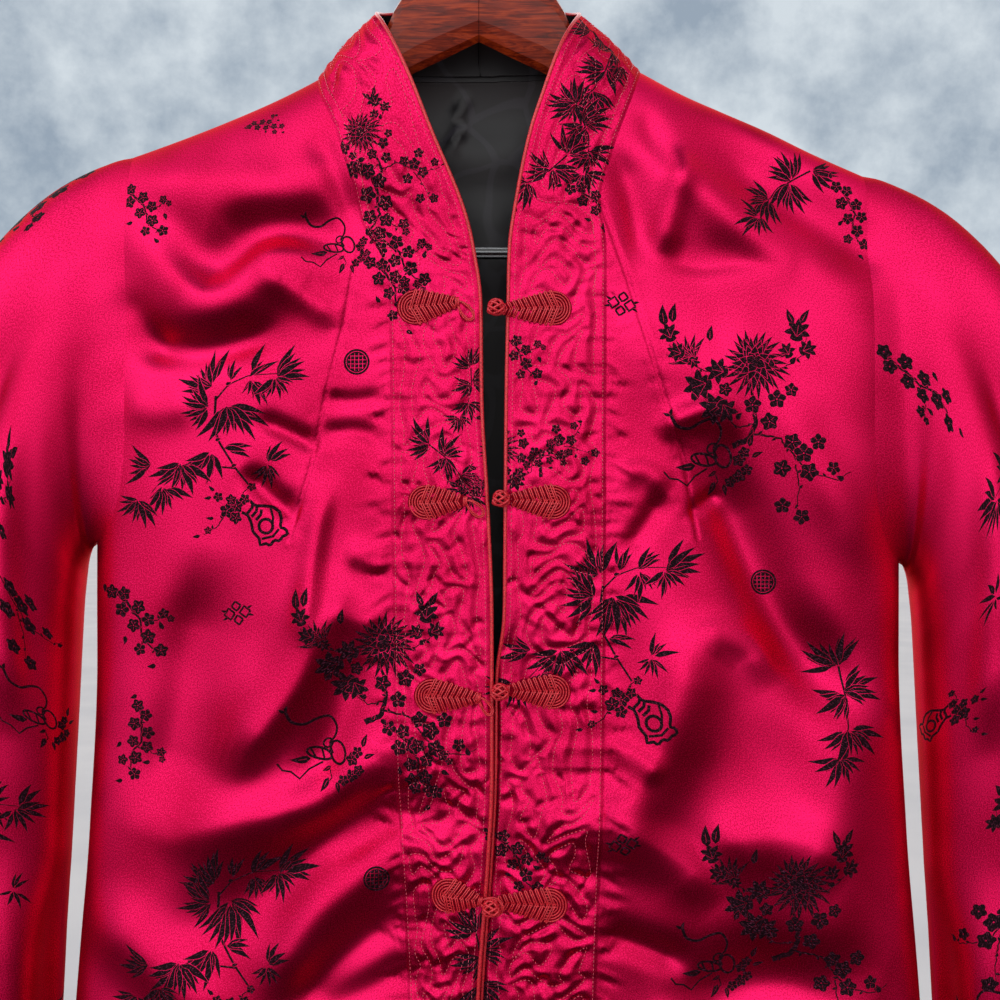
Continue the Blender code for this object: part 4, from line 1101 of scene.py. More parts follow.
def plum(figure: Figure) -> None:
    """Draw a short crooked twig of plum blossom, about 50 mm long."""
    figure.twig(((-12, 20), (-4, 10), (2, -2), (0, -14), (8, -26)), 2.2)
    figure.twig(((2, -2), (12, -6), (20, -4)), 1.0)
    figure.blossoms((
        (-12, 18, 9.5), (-4, 15, 9), (-8, 6, 10), (3, 5, 9.5), (7, -4, 9), (-3, -5, 9), (4, -14, 10), (-3, -20, 8),
        (9, -24, 9), (17, -3, 7), (20, -7, 5),
    ))
    figure.buds(((-16, 24), (14, -12), (4, -32), (-10, -10)), 6, 5.5, 3)


def spray(figure: Figure) -> None:
    """Draw a short bamboo spray, about 45 mm high."""
    figure.stroke(((4, 20), (2, 6), (-3, -8), (-12, -20)), 1.1, 0.5, step=3)
    figure.fans((
        (4, 20, 30, 165, 7, 16), (2, 6, 150, 250, 6, 15), (2, 8, -60, 40, 6, 15), (-4, -9, 180, 340, 8, 15),
        (-13, -20, 165, 330, 7, 13),
    ))


def vase(figure: Figure) -> None:
    """Draw a vase lying over, in outline, with plum blossom in its neck, about 45 mm wide."""
    figure.stroke((
        (-5, 9), (-1, 6.5), (4, 7.5), (9, 8), (13.5, 6), (16, 2), (16.5, -3), (20, -3), (22, -6), (19, -8),
        (18, -11), (14.5, -11), (13, -15), (10, -14), (7, -16), (5.5, -12), (1, -9), (-1, -4), (-4, 0), (-8, 1),
    ), 1.9, step=2.0)
    figure.stroke(((16, -4), (13.5, -9), (7, -12)), 1.6)
    figure.stroke(oval(8, -4, 8.5, 8.5, 0.4, 14), 1.9)
    figure.stroke(((8, 7), (11, 2), (12, -3)), 1.4)
    for x, y in ((-4, 5), (-1, 3.6), (2, 2.2)):
        figure.stroke(((x + 1.2, y + 3), (x + 1.6, y), (x - 0.6, y - 4)), 1.9)
    figure.twig(((-10, 4), (-18, -2), (-20, -10), (-28, -17)), 1.2)
    figure.twig(((-9, 6), (-10, 13), (-6, 19)), 1.0)
    figure.blossoms((
        (-12, 4, 9), (-17, 0, 9.5), (-11, -3, 8), (-8, 9, 7), (-24, 7, 6.5), (-6, 17, 5.5), (-26, -14, 5),
        (-16, 7, 7),
    ))
    for x, y, turn in ((-27, 10, 150), (-24, -6, 190), (-28, 6, 200), (-30, -18, 200)):
        figure.leaf(x, y, math.radians(turn), 5, 2.2, False)


def ribbon(figure: Figure) -> None:
    """Draw a ribbon tied round a ring with blossoms, about 50 mm wide."""
    knots = np.array(((-24, 22), (-21, 15), (-14, 13), (-7, 16), (0, 17), (4, 11), (3, 5), (0, 1), (2, -5)), float)
    figure.stroke(catmull(np.arange(9.0), knots, np.linspace(0, 8, 33)), 1.9, 0.6)
    for turn in (70, 150):
        figure.leaf(-24, 21, math.radians(turn), 4.5, 2.0, False)
    figure.stroke(oval(5, -4, 9, 13, 0.3), 1.5)
    figure.stroke(oval(-6, -5, 15, 6.5, -0.25, 18), 1.5)
    figure.stroke(((-11, -2), (-9, -6), (-8, -8)), 1.2)
    figure.stroke(((-5, -2), (-4, -5), (-3, -9)), 1.2)
    figure.stroke(oval(-1, 1, 6, 5, 0.6, 12), 1.2)
    figure.leaf(-11, -8, math.pi, 12, 4.5)
    figure.stroke(((-4, -10), (-12, -14), (-17, -19), (-22, -15), (-27, -14), (-30, -10)), 1.1)
    figure.stroke(((0, -12), (2, -18), (-3, -24)), 0.9, 0.5)
    figure.blossoms(((14, -7, 8), (17, -3, 7), (14, -16, 8), (18, -13, 7), (9, -19, 7)))
    figure.leaves(((20, 0, 70, 8), (21, -6, 20, 7), (0, -18, 240, 9), (5, -20, 280, 7), (1, -12, 210, 6)), 0.4)


def medallion(figure: Figure) -> None:
    """Draw a round medallion, 14 mm across, with a plain lattice."""
    figure.disc(0, 0, 14, 33)
    figure.stroke(oval(0, 0, 11.4, 11.4, steps=33), 0.32, woven=False)
    for k in (-3.2, -1.1, 1.1, 3.2):
        reach = math.sqrt(4.9**2 - k**2)
        figure.stroke(((-reach, k), (0, k), (reach, k)), 0.32, woven=False)
        figure.stroke(((k, -reach), (k, 0), (k, reach)), 0.32, woven=False)


def knot(figure: Figure) -> None:
    """Draw a small ornament of linked lozenges, about 17 mm wide."""
    for x, y, size in ((-5, 0, 7), (5, 0, 7), (0, 4.2, 6), (0, -4.2, 6)):
        half = size / 2
        figure.stroke(((x + half, y), (x, y + half), (x - half, y), (x, y - half), (x + half, y)), 1.3, step=1.6)
    for turn in (20, 160, 200, 340):
        a = math.radians(turn)
        figure.leaf(7 * math.cos(a), 5 * math.sin(a), a, 4, 1.6, False)


class FigureKind(Enum):
    """Figures of the brocade; the value is what draws one."""

    BAMBOO = member(bamboo)
    MUM = member(mum)
    PLUM = member(plum)
    SPRAY = member(spray)
    VASE = member(vase)
    RIBBON = member(ribbon)
    MEDALLION = member(medallion)
    KNOT = member(knot)


class Placement(NamedTuple):
    """Where a figure is woven: its middle, its size as a share, and how it is turned."""

    kind: FigureKind
    x: float
    z: float
    size: float = 1.0
    turn: float = 0.0
    mirrored: bool = False


# ---------------------------------------------------------------- cloth meshes


def signed_area(polygon: Array) -> float:
    """Area of a polygon, negative when it runs clockwise."""
    x, y = polygon[:, 0], polygon[:, 1]
    return float(np.sum(x * np.roll(y, -1) - y * np.roll(x, -1)) / 2)


def anticlockwise(polygon: Array) -> Array:
    """The polygon, turned round if it runs clockwise."""
    return polygon if signed_area(polygon) > 0 else polygon[::-1]


def search_tree(points: Array) -> KDTree:
    """Tree that finds the nearest of some flat points."""
    tree = KDTree(len(points))
    for k, (x, y) in enumerate(points.tolist()):
        tree.insert((x, y, 0.0), k)
    tree.balance()
    return tree


def hexagon_grid(low: Array, high: Array, pitch: float) -> Array:
    """Evenly spaced points over a rectangle."""
    x, y = np.meshgrid(np.arange(low[0], high[0], pitch), np.arange(low[1], high[1], pitch * math.sqrt(0.75)))
    x[1::2] += pitch / 2
    return np.stack((x.ravel(), y.ravel()), axis=1)


@dataclass
class FlatCloth:
    """Cut piece of cloth laid flat: its outline, its figures and lines its mesh must follow."""

    outline: Array
    pitch: float
    figures: Sequence[Shape] = ()
    guides: Sequence[Array] = ()

    def triangles(self) -> tuple[Array, Array, Array]:
        """Cut the flat cloth into triangles.

        Returns:
            Flat points, triangles, and for each triangle whether it is woven in motif thread.
        """
        outline = anticlockwise(self.outline)
        low, high = outline.min(axis=0), outline.max(axis=0)
        shapes = [
            (anticlockwise(shape), woven)
            for shape, woven in self.figures
            if (shape.max(axis=0) > low).all()
            and (shape.min(axis=0) < high).all()
            and abs(signed_area(shape)) > SMALLEST_SHAPE
        ]
        points, loops, segments, count = [], [], [], 0
        for loop in (outline, *(shape for shape, _ in shapes)):
            loops.append(list(range(count, count + len(loop))))
            points.append(loop)
            count += len(loop)
        for line in self.guides:
            segments += [(count + k, count + k + 1) for k in range(len(line) - 1)]
            points.append(line)
            count += len(line)
        drawn = np.concatenate(points)
        tree, grid = search_tree(drawn), hexagon_grid(low, high, self.pitch)
        clear = [tree.find((x, y, 0.0))[2] > CLEARANCE_SHARE * self.pitch for x, y in grid.tolist()]
        vectors = [Vector(point) for point in np.concatenate((drawn, grid[clear])).tolist()]
        flat, _, faces, _, _, sources = delaunay_2d_cdt(vectors, segments, loops, 1, 1e-5, True)
        kept = [(face, max(source)) for face, source in zip(faces, sources) if 0 in source]
        woven = [top > 0 and shapes[top - 1][1] for _, top in kept]
        used, numbers = np.unique([face for face, _ in kept], return_inverse=True)
        return np.array([tuple(v) for v in flat])[used], numbers.reshape(-1, 3), np.array(woven)


class Slot(Enum):
    """Material places on a piece of brocade."""

    GROUND = 0
    MOTIF = 1
    LINING = 2


def border_edges(faces: Array, count: int) -> Array:
    """Edges that only one triangle has, in that triangle's direction."""
    edges = np.concatenate((faces[:, [0, 1]], faces[:, [1, 2]], faces[:, [2, 0]]))
    keys = edges.min(axis=1) * count + edges.max(axis=1)
    _, index, uses = np.unique(keys, return_index=True, return_counts=True)
    return edges[index[uses == 1]]


def border_loop(faces: Array, count: int) -> list[int]:
    """Points round the outside of flat triangles, in order."""
    after = {int(a): int(b) for a, b in border_edges(faces, count)}
    loop = [next(iter(after))]
    while after[loop[-1]] != loop[0]:
        loop.append(after[loop[-1]])
    return loop


def raised(chart: Chart, flat: Array, faces: Array) -> tuple[Array, Array, Array, Array]:
    """Put flat triangles on a chart and weld where it meets itself.

    Args:
        chart: the form that the cloth lies on.
        flat: flat points.
        faces: triangles of the flat cloth, anticlockwise.

    Returns:
        Points, normals, triangles facing outwards, and each flat point's number among the points.
    """
    points, normals = chart.place(flat), chart.normals(flat)
    cells = np.round(points / WELD_DISTANCE).astype(np.int64)
    _, first, same = np.unique(cells, axis=0, return_index=True, return_inverse=True)
    same = same.reshape(-1)
    merged = np.zeros((len(first), 3))
    np.add.at(merged, same, normals)
    length = np.linalg.norm(merged, axis=1, keepdims=True)
    normals = np.where(length > 0.1, unit(merged), normals[first])
    faces = same[faces]
    return points[first], normals, faces if chart.outward > 0 else faces[:, ::-1], same


@dataclass
class Shell:
    """Closed wall of cloth, ready to be made a mesh."""

    points: Array
    faces: Array
    places: Array
    normals: Array
    flat: Array

    def joined(self, other: Shell) -> Shell:
        """This wall and another as one."""
        both = {name: np.concatenate((value, getattr(other, name))) for name, value in vars(self).items()}
        both["faces"][len(self.faces) :] += len(self.points)
        return Shell(**both)


def shell(chart: Chart, inner: Chart, cloth: FlatCloth, wall: float, pitch: float) -> Shell:
    """Raise flat cloth on a chart and close it with a coarser inner face.

    Args:
        chart: the form that the cloth lies on.
        inner: the form that the inner face lies on.
        cloth: the flat cloth.
        wall: thickness of the cloth.
        pitch: distance between the inner face's points.

    Returns:
        The closed wall.
    """
    flat, faces, woven = cloth.triangles()
    points, normals, outer_faces, same = raised(chart, flat, faces)
    loop = border_loop(faces, len(flat))
    inner_flat, inner_cut, _ = FlatCloth(flat[loop], pitch).triangles()
    in_points, in_normals, in_faces, in_same = raised(inner, inner_flat, inner_cut)
    in_points = in_points - in_normals * wall
    count, tree = len(points), search_tree(inner_flat)
    partner = {int(same[k]): int(in_same[tree.find((*flat[k].tolist(), 0.0))[1]]) + count for k in loop}
    rims = []
    for a, b in border_edges(outer_faces, count).tolist():
        rims += [(b, a, partner[a]), (b, partner[a], partner[b])]
    rims = np.array(rims)
    all_faces = np.concatenate((outer_faces, in_faces[:, ::-1] + count, rims))
    whole = (all_faces != np.roll(all_faces, 1, axis=1)).all(axis=1)
    lined = in_points[rims[:, -1] - count, 2] > RIM_LINING_Z
    places = np.concatenate((
        np.where(woven, Slot.MOTIF.value, Slot.GROUND.value),
        np.full(len(in_faces), Slot.LINING.value),
        np.where(lined, Slot.LINING.value, Slot.GROUND.value),
    ))
    cloth_flat = np.zeros((count + len(in_points), 2))
    cloth_flat[same], cloth_flat[in_same + count] = flat, inner_flat
    both_normals = np.concatenate((normals, -in_normals))
    return Shell(np.concatenate((points, in_points)), all_faces[whole], places[whole], both_normals, cloth_flat)


def new_object(name: str, data: ID) -> Object:
    """Make an object of a mesh, a light or a camera and link it to the scene."""
    obj = bpy.data.objects.new(name, data)
    bpy.context.scene.collection.objects.link(obj)
    return obj


def mesh_object(name: str, points: Array, faces: Sequence, materials: Sequence[Material]) -> Object:
    """Make a smooth mesh object from points in millimetres."""
    mesh = bpy.data.meshes.new(name)
    mesh.from_pydata((np.asarray(points) * MM).tolist(), [], [list(map(int, face)) for face in faces])
    for material in materials:
        mesh.materials.append(material)
    mesh.polygons.foreach_set("use_smooth", np.ones(len(mesh.polygons), bool))
    mesh.update()
    return new_object(name, mesh)


def cloth_object(name: str, made: Shell, materials: Sequence[Material]) -> Object:
    """Make a mesh object of a wall of cloth, with its flat places as a UV map in metres."""
    obj = mesh_object(name, made.points, made.faces, materials)
    mesh = obj.data
    if len(materials) > 1:
        mesh.polygons.foreach_set("material_index", made.places.astype(np.int32))
    corners = np.empty(len(mesh.loops), np.int32)
    mesh.loops.foreach_get("vertex_index", corners)
    mesh.uv_layers.new(name="Cloth").data.foreach_set("uv", (made.flat[corners] * MM).astype(np.float32).ravel())
    mesh.update()
    mesh.validate()
    mesh.normals_split_custom_set_from_vertices(made.normals.tolist())
    return obj


# ---------------------------------------------------------------- where the figures are woven

BAMBOO, MUM, PLUM, SPRAY, VASE, RIBBON, MEDALLION, KNOT = FigureKind

FRONT_FIGURES = table_of(
    Placement,
    (BAMBOO, -137, -317), (VASE, -120, -370, 0.9, -12), (PLUM, -184, -200, 0.75, 20),
    (PLUM, -117, -156, 0.4, 60), (RIBBON, -74, -221, 0.72, 8), (MEDALLION, -65, -287),
    (KNOT, -130, -422, 0.9, 10), (SPRAY, -4, -303, 0.62, 10), (SPRAY, -14, -342, 0.78, 60),
    (PLUM, -46, -246, 0.8, 10), (MUM, -52, -444, 0.95), (RIBBON, -80, -493, 0.92),
    (PLUM, -34, -497, 0.9, 10), (PLUM, -186, -424, 0.9, 15), (PLUM, -184, -490, 0.8, -30),
    (BAMBOO, -137, -586), (VASE, -120, -640, 0.9, -12), (MEDALLION, -54, -563), (SPRAY, 2, -612, 0.95, 20),
    (KNOT, -130, -692, 0.9, -6), (MUM, -52, -713, 0.95), (RIBBON, -196, -700, 0.9, 5),
    (SPRAY, 166, -190, 0.95, -70, True), (PLUM, 206, -202, 0.75), (KNOT, 77, -256, 0.9, -12),
    (MUM, 146, -294), (RIBBON, 127, -334, 0.95, 5), (PLUM, 20, -280, 0.7, 20), (MUM, 14, -336, 0.6, 70),
    (PLUM, 36, -338, 0.5, 80), (BAMBOO, 70, -419, 1.0, -4), (VASE, 87, -474, 0.92, -14),
    (MEDALLION, 156, -406), (SPRAY, 200, -474, 1.1, 20), (KNOT, 77, -543, 0.9, 14), (MUM, 169, -573),
    (RIBBON, 131, -610, 0.9), (PLUM, 20, -552, 0.8, 15), (PLUM, 190, -655, 0.9, 15),
    (BAMBOO, 70, -688, 1.0, -4), (MEDALLION, 150, -690),
)
BAND_FIGURES = {
    Side.LEFT: table_of(
        Placement,
        (MUM, -62, -168, 0.62, 30), (PLUM, -54, -205, 0.95, -20), (PLUM, -44, -228, 0.85, 25),
    ),
    Side.RIGHT: table_of(
        Placement,
        (SPRAY, 66, -134, 0.9, -10), (SPRAY, 58, -166, 0.85, 30), (SPRAY, 34, -188, 0.85, -40),
        (PLUM, 63, -202, 0.7, 30), (SPRAY, 70, -112, 0.6, 60),
    ),
}
COLLAR_FIGURES = {
    Side.LEFT: table_of(
        Placement,
        (PLUM, 700, 18, 0.8, 90), (SPRAY, 745, 24, 0.8, 70),
    ),
    Side.RIGHT: table_of(
        Placement,
        (PLUM, 735, 20, 0.9, -70),
    ),
}
BACK_FIGURES = table_of(
    Placement,
    (BAMBOO, -122, -235), (BAMBOO, -118, -505), (BAMBOO, 78, -352, 1.0, 4, True),
    (BAMBOO, 78, -622, 1.0, -3, True), (MUM, 128, -238, 1.0, 3, True), (MUM, 132, -508, 1.0, -3),
    (MUM, -38, -372), (MUM, -42, -642, 1.0, 4), (VASE, -106, -292, 0.9, -12), (VASE, -102, -562, 0.9, -12),
    (VASE, 62, -410, 0.9, 12, True), (VASE, 60, -680, 0.9, 12, True), (RIBBON, 20, -228, 0.9),
    (RIBBON, 24, -500, 0.9), (RIBBON, -166, -392, 0.9), (RIBBON, -168, -664, 0.9),
    (RIBBON, 176, -380, 0.9, 0, True), (MEDALLION, -30, -262), (MEDALLION, -30, -532),
    (MEDALLION, 170, -440), (MEDALLION, 172, -690), (KNOT, 12, -182, 0.9), (KNOT, 14, -452, 0.9),
    (KNOT, -96, -436, 0.9, 8), (KNOT, -100, -706, 0.9, 8), (PLUM, -190, -330, 0.9),
    (PLUM, 196, -580, 0.9, 20), (PLUM, 70, -180, 0.9, 20), (SPRAY, -60, -160, 0.9, 20),
)
SLEEVE_FIGURES = {
    Side.LEFT: table_of(
        Placement,
        (MUM, 110, 88, 1.0, 90), (BAMBOO, 130, -70, 1.0, 90), (BAMBOO, 300, 70, 1.0, 90),
        (MUM, 330, -70, 1.0, 90), (MUM, 460, 50, 1.0, 90), (BAMBOO, 500, -50, 1.0, 90),
        (MEDALLION, 220, 10, 1.0, 90), (RIBBON, 215, 120, 0.9, 90), (VASE, 225, -60, 0.9, 90),
        (KNOT, 400, 0, 0.9, 90), (PLUM, 40, 10, 0.9, 90), (RIBBON, 410, -110, 0.9, 90),
    ),
    Side.RIGHT: table_of(
        Placement,
        (PLUM, 22, 120, 0.95, 90), (BAMBOO, 120, 80, 1.0, 90), (MUM, 130, -80, 1.0, 90, True),
        (MUM, 290, 60, 1.0, 90), (BAMBOO, 320, -60, 1.0, 90, True), (BAMBOO, 460, 55, 1.0, 90),
        (MUM, 490, -50, 1.0, 90), (MEDALLION, 205, 10, 1.0, 90), (RIBBON, 210, -110, 0.9, 90),
        (VASE, 205, 130, 0.9, 90), (KNOT, 390, 5, 0.9, 90), (PLUM, 36, -20, 0.9, 90),
        (RIBBON, 385, 90, 0.9, 90),
    ),
}


# ---------------------------------------------------------------- node trees and finishes


def linear(colour: str) -> tuple[float, float, float, float]:
    """Linear RGBA of an sRGB hex colour."""
    parts = [int(colour[k : k + 2], 16) / 255 for k in (0, 2, 4)]
    return (*((c / 12.92 if c <= 0.04045 else ((c + 0.055) / 1.055) ** 2.4) for c in parts), 1.0)


def feed(tree: NodeTree, node: Node, inputs: Inputs) -> Node:
    """Set a node's inputs.

    Args:
        tree: node tree that it is in.
        node: the node.
        inputs: for each input a value, a socket that feeds it, or a node whose first output does.

    Returns:
        The node.
    """
    for key, value in inputs.items():
        if isinstance(value, (Node, NodeSocket)):
            tree.links.new(value.outputs[0] if isinstance(value, Node) else value, node.inputs[key])
        else:
            node.inputs[key].default_value = value
    return node


def add_node(
    tree: NodeTree, kind: str, inputs: Inputs | None = None, stops: Sequence[tuple] = (), **settings: object
) -> Node:
    """Add a node to a tree.

    Args:
        tree: node tree that it goes in.
        kind: the node's type name.
        inputs: its inputs, as feed takes them.
        stops: a colour ramp's places and their hex or linear colours.
        settings: the node's own settings.

    Returns:
        The node.
    """
    node = tree.nodes.new(kind)
    for name, value in settings.items():
        setattr(node, name, value)
    for number, (place, colour) in enumerate(stops):
        elements = node.color_ramp.elements
        element = elements[number] if number < len(elements) else elements.new(place)
        element.position, element.color = place, linear(colour) if isinstance(colour, str) else colour
    return feed(tree, node, inputs or {})


class Finish:
    """Recipe of a material; each kind of finish sets its own name and wires its own nodes."""

    name: ClassVar[str]

    def build(self) -> Material:
        """Make the material."""
        material = bpy.data.materials.new(self.name)
        material.use_nodes = True
        tree = material.node_tree
        feed(tree, tree.nodes["Principled BSDF"], self.shader(tree))
        return material

    def shader(self, tree: NodeTree) -> Inputs:
        """Add the pattern's nodes to a tree and give the shader's inputs."""
        raise NotImplementedError


@dataclass(frozen=True)
class SatinBrocade(Finish):
    """Silk satin woven in rose red: long floats of thread that shine like soft metal, with a grain."""

    name: str = "red_satin_brocade"
    shade: str = "bc003c"
    glow: str = "ff186a"
    edge: str = "c01c50"
    metallic: float = 0.96
    roughness: float = 0.35
    grain_mm: float = 0.7
    thread_mm: float = 1.1
    cloud_mm: float = 60.0

    def shader(self, tree: NodeTree) -> Inputs:
        """Give the ground weave a grain, clouds of glow and the line of its threads."""
        place = add_node(tree, "ShaderNodeUVMap", uv_map="Cloth")
        cloud_size, grain_size = 1 / (self.cloud_mm * MM), 1 / (self.grain_mm * MM)
        cloud = add_node(tree, "ShaderNodeTexNoise", {"Vector": place, "Scale": cloud_size, "Detail": 2.0})
        grain = {"Vector": place, "Scale": grain_size, "Detail": 3.0, "Roughness": 0.7}
        grain = add_node(tree, "ShaderNodeTexNoise", grain)
        size = self.thread_mm * MM
        turned = add_node(tree, "ShaderNodeMapping", {"Vector": place, "Scale": (1 / size, 0.22 / size, 1.0)})
        thread = add_node(tree, "ShaderNodeTexNoise", {"Vector": turned, "Scale": 1.0, "Detail": 1.0})
        mixed = add_node(tree, "ShaderNodeMath", {0: grain, 1: 3.0, 2: cloud}, operation="MULTIPLY_ADD")
        share = add_node(tree, "ShaderNodeMath", {0: mixed, 1: 1.5}, operation="SUBTRACT")
        rough = {"Value": grain, "To Min": self.roughness - 0.05, "To Max": self.roughness + 0.07}
        height = add_node(tree, "ShaderNodeMath", {0: grain, 1: thread}, operation="ADD")
        bump = {"Height": height, "Strength": 0.14, "Distance": 0.12 * MM}
        stops = ((0.25, self.shade), (0.75, self.glow))
        return {
            "Base Color": add_node(tree, "ShaderNodeValToRGB", {"Fac": share}, stops),
            "Roughness": add_node(tree, "ShaderNodeMapRange", rough),
            "Normal": add_node(tree, "ShaderNodeBump", bump),
            "Metallic": self.metallic,
            "Specular Tint": linear(self.edge),
            "Coat Weight": 0.1,
            "Coat Roughness": 0.35,
        }


@dataclass(frozen=True)
class MotifThread(Finish):
    """Black silk weft brought up for the figures: dull beside the satin, crossed by ground threads."""

    name: str = "black_motif_thread"
    black: str = "10040a"
    worn: str = "2a0e1c"
    speck: str = "78304e"
    thread_mm: float = 0.6
    roughness: float = 0.62

    def shader(self, tree: NodeTree) -> Inputs:
        """Give the woven figures slanting threads with specks of the ground between them."""
        place, size = add_node(tree, "ShaderNodeUVMap", uv_map="Cloth"), self.thread_mm * MM
        turned = {"Vector": place, "Rotation": (0.0, 0.0, 0.6), "Scale": (0.4 / size, 1 / size, 1.0)}
        turned = add_node(tree, "ShaderNodeMapping", turned)
        thread = {"Vector": turned, "Scale": 1.0, "Detail": 2.0, "Roughness": 0.7}
        thread = add_node(tree, "ShaderNodeTexNoise", thread)
        stops = ((0.0, self.black), (0.5, self.black), (0.58, self.worn), (0.68, self.speck))
        return {
            "Base Color": add_node(tree, "ShaderNodeValToRGB", {"Fac": thread}, stops),
            "Normal": add_node(tree, "ShaderNodeBump", {"Height": thread, "Strength": 0.6, "Distance": 0.2 * MM}),
            "Roughness": self.roughness,
            "Specular IOR Level": 0.08,
        }


@dataclass(frozen=True)
class LiningTwill(Finish):
    """Black acetate lining with a self-coloured scroll: smooth, with a slight sheen."""

    name: str = "black_lining"
    black: str = "17161a"
    scroll: str = "2a282f"
    scroll_mm: float = 46.0
    roughness: float = 0.5

    def shader(self, tree: NodeTree) -> Inputs:
        """Give the lining its scroll lines and a fine weave."""
        place, size = add_node(tree, "ShaderNodeTexCoord").outputs["Object"], 1 / (self.scroll_mm * MM)
        warp = add_node(tree, "ShaderNodeTexNoise", {"Vector": place, "Scale": size, "Detail": 1.0})
        shift = {0: warp.outputs[1], 1: (0.05, 0.05, 0.05), 2: place}
        shift = add_node(tree, "ShaderNodeVectorMath", shift, operation="MULTIPLY_ADD")
        scroll = {"Vector": shift, "Scale": size}
        scroll = add_node(tree, "ShaderNodeTexVoronoi", scroll, feature="DISTANCE_TO_EDGE")
        weave = add_node(tree, "ShaderNodeTexNoise", {"Vector": place, "Scale": 900.0, "Detail": 2.0})
        stops = ((0.0, self.scroll), (0.03, self.scroll), (0.05, self.black))
        return {
            "Base Color": add_node(tree, "ShaderNodeValToRGB", {"Fac": scroll}, stops),
            "Normal": add_node(tree, "ShaderNodeBump", {"Height": weave, "Strength": 0.25, "Distance": 0.1 * MM}),
            "Roughness": self.roughness,
        }


@dataclass(frozen=True)
class CoralCord(Finish):
    """Bias-cut satin tube in coral red: a rounded, slightly shiny cord with a twist of fine ribs."""

    name: str = "coral_red_cord"
    # light and dark: painted highlight on the rib tops and painted shade in their hollows, over the cord's coral
    # red
    light: str = "f02e3e"
    dark: str = "9e0c20"
    rib_mm: float = 0.6
    roughness: float = 0.3
    sheen: float = 0.6
    metallic: float = 0.25
    specular: float = 0.4

    def shader(self, tree: NodeTree) -> Inputs:
        """Give the cord its ribs, with painted shade where they sink and a painted highlight where they rise."""
        place = add_node(tree, "ShaderNodeTexCoord").outputs["Object"]
        ribs = {"Vector": place, "Scale": 1 / (self.rib_mm * MM), "Detail": 3.0}
        ribs = add_node(tree, "ShaderNodeTexNoise", ribs)
        # the ramp follows the rib height, so the colour carries painted shade in the hollows and a painted
        # highlight on the tops
        stops = ((0.36, self.dark), (0.58, self.light))
        return {
            "Base Color": add_node(tree, "ShaderNodeValToRGB", {"Fac": ribs}, stops),
            "Normal": add_node(tree, "ShaderNodeBump", {"Height": ribs, "Strength": 0.5, "Distance": 0.15 * MM}),
            "Roughness": self.roughness,
            "Metallic": self.metallic,
            "Specular IOR Level": self.specular,
            "Coat Weight": self.sheen,
            "Coat Roughness": 0.25,
        }


@dataclass(frozen=True)
class VarnishedWood(Finish):
    """Red-brown stained beech under clear varnish: long grain, fine scratches and a soft gloss."""

    name: str = "hanger_wood"
    light: str = "a83a14"
    middle: str = "80240e"
    dark: str = "521508"
    grain_mm: float = 2.6
    lean: float = 0.35
    roughness: float = 0.26

    def shader(self, tree: NodeTree) -> Inputs:
        """Give the arms long wavy grain and pores."""
        place, size = add_node(tree, "ShaderNodeTexCoord").outputs["Object"], self.grain_mm * MM
        turned = {"Vector": place, "Rotation": (0.0, self.lean, 0.0)}
        long = add_node(tree, "ShaderNodeMapping", {**turned, "Scale": (0.10 / size, 0.5 / size, 1 / size)})
        warp = {"Vector": long, "Scale": 1.0, "Detail": 5.0, "Roughness": 0.62, "Distortion": 1.1}
        warp = add_node(tree, "ShaderNodeTexNoise", warp)
        fine = add_node(tree, "ShaderNodeMapping", {**turned, "Scale": (60.0, 800.0, 1500.0)})
        pores = add_node(tree, "ShaderNodeTexNoise", {"Vector": fine, "Scale": 1.0, "Detail": 3.0})
        both = add_node(tree, "ShaderNodeMath", {0: pores, 1: 0.35, 2: warp}, operation="MULTIPLY_ADD")
        stops = ((0.5, self.dark), (0.66, self.middle), (0.82, self.light))
        return {
            "Base Color": add_node(tree, "ShaderNodeValToRGB", {"Fac": both}, stops),
            "Normal": add_node(tree, "ShaderNodeBump", {"Height": pores, "Strength": 0.25, "Distance": 0.2 * MM}),
            "Roughness": self.roughness,
            "Specular IOR Level": 0.3,
        }


@dataclass(frozen=True)
class ChromedSteel(Finish):
    """Chromed steel wire: a bright mirror with fine drawing lines."""

    name: str = "hook_chrome"
    colour: str = "d6d8dc"
    roughness: float = 0.14

    def shader(self, tree: NodeTree) -> Inputs:
        """Give the hook its fine lines."""
        place = add_node(tree, "ShaderNodeTexCoord").outputs["Object"]
        lines = add_node(tree, "ShaderNodeTexNoise", {"Vector": place, "Scale": 700.0, "Detail": 2.0})
        rough = {"Value": lines, "To Min": self.roughness - 0.05, "To Max": self.roughness + 0.12}
        rough = add_node(tree, "ShaderNodeMapRange", rough)
        return {"Base Color": linear(self.colour), "Metallic": 1.0, "Roughness": rough}


@dataclass(frozen=True)
class SmokedTube(Finish):
    """Ribbed grey PVC tube over the trouser bar, with thin pale lines of painted highlight along its ribs."""

    name: str = "bar_cover"
    # groove is the tube's own dark grey; rib is the colour of the painted highlight lines
    groove: str = "24262a"
    rib: str = "c9cdd2"
    rib_mm: float = 2.3
    roughness: float = 0.18

    def shader(self, tree: NodeTree) -> Inputs:
        """Give the bar its painted highlight lines and a little dust."""
        place = add_node(tree, "ShaderNodeTexCoord").outputs["Object"]
        dust = add_node(tree, "ShaderNodeTexNoise", {"Vector": place, "Scale": 300.0, "Detail": 3.0})
        rough = {"Value": dust, "To Min": self.roughness, "To Max": self.roughness + 0.2}
        ribs = {"Vector": place, "Scale": math.tau / (20 * self.rib_mm * MM)}
        ribs = add_node(tree, "ShaderNodeTexWave", ribs, bands_direction="Z").outputs[1]
        # pale stripes: painted highlights where the glossy ribs would catch the light
        stops = ((0.5, self.groove), (0.9, self.rib))
        return {
            "Base Color": add_node(tree, "ShaderNodeValToRGB", {"Fac": ribs}, stops),
            "Roughness": add_node(tree, "ShaderNodeMapRange", rough),
            "Coat Weight": 0.8,
        }


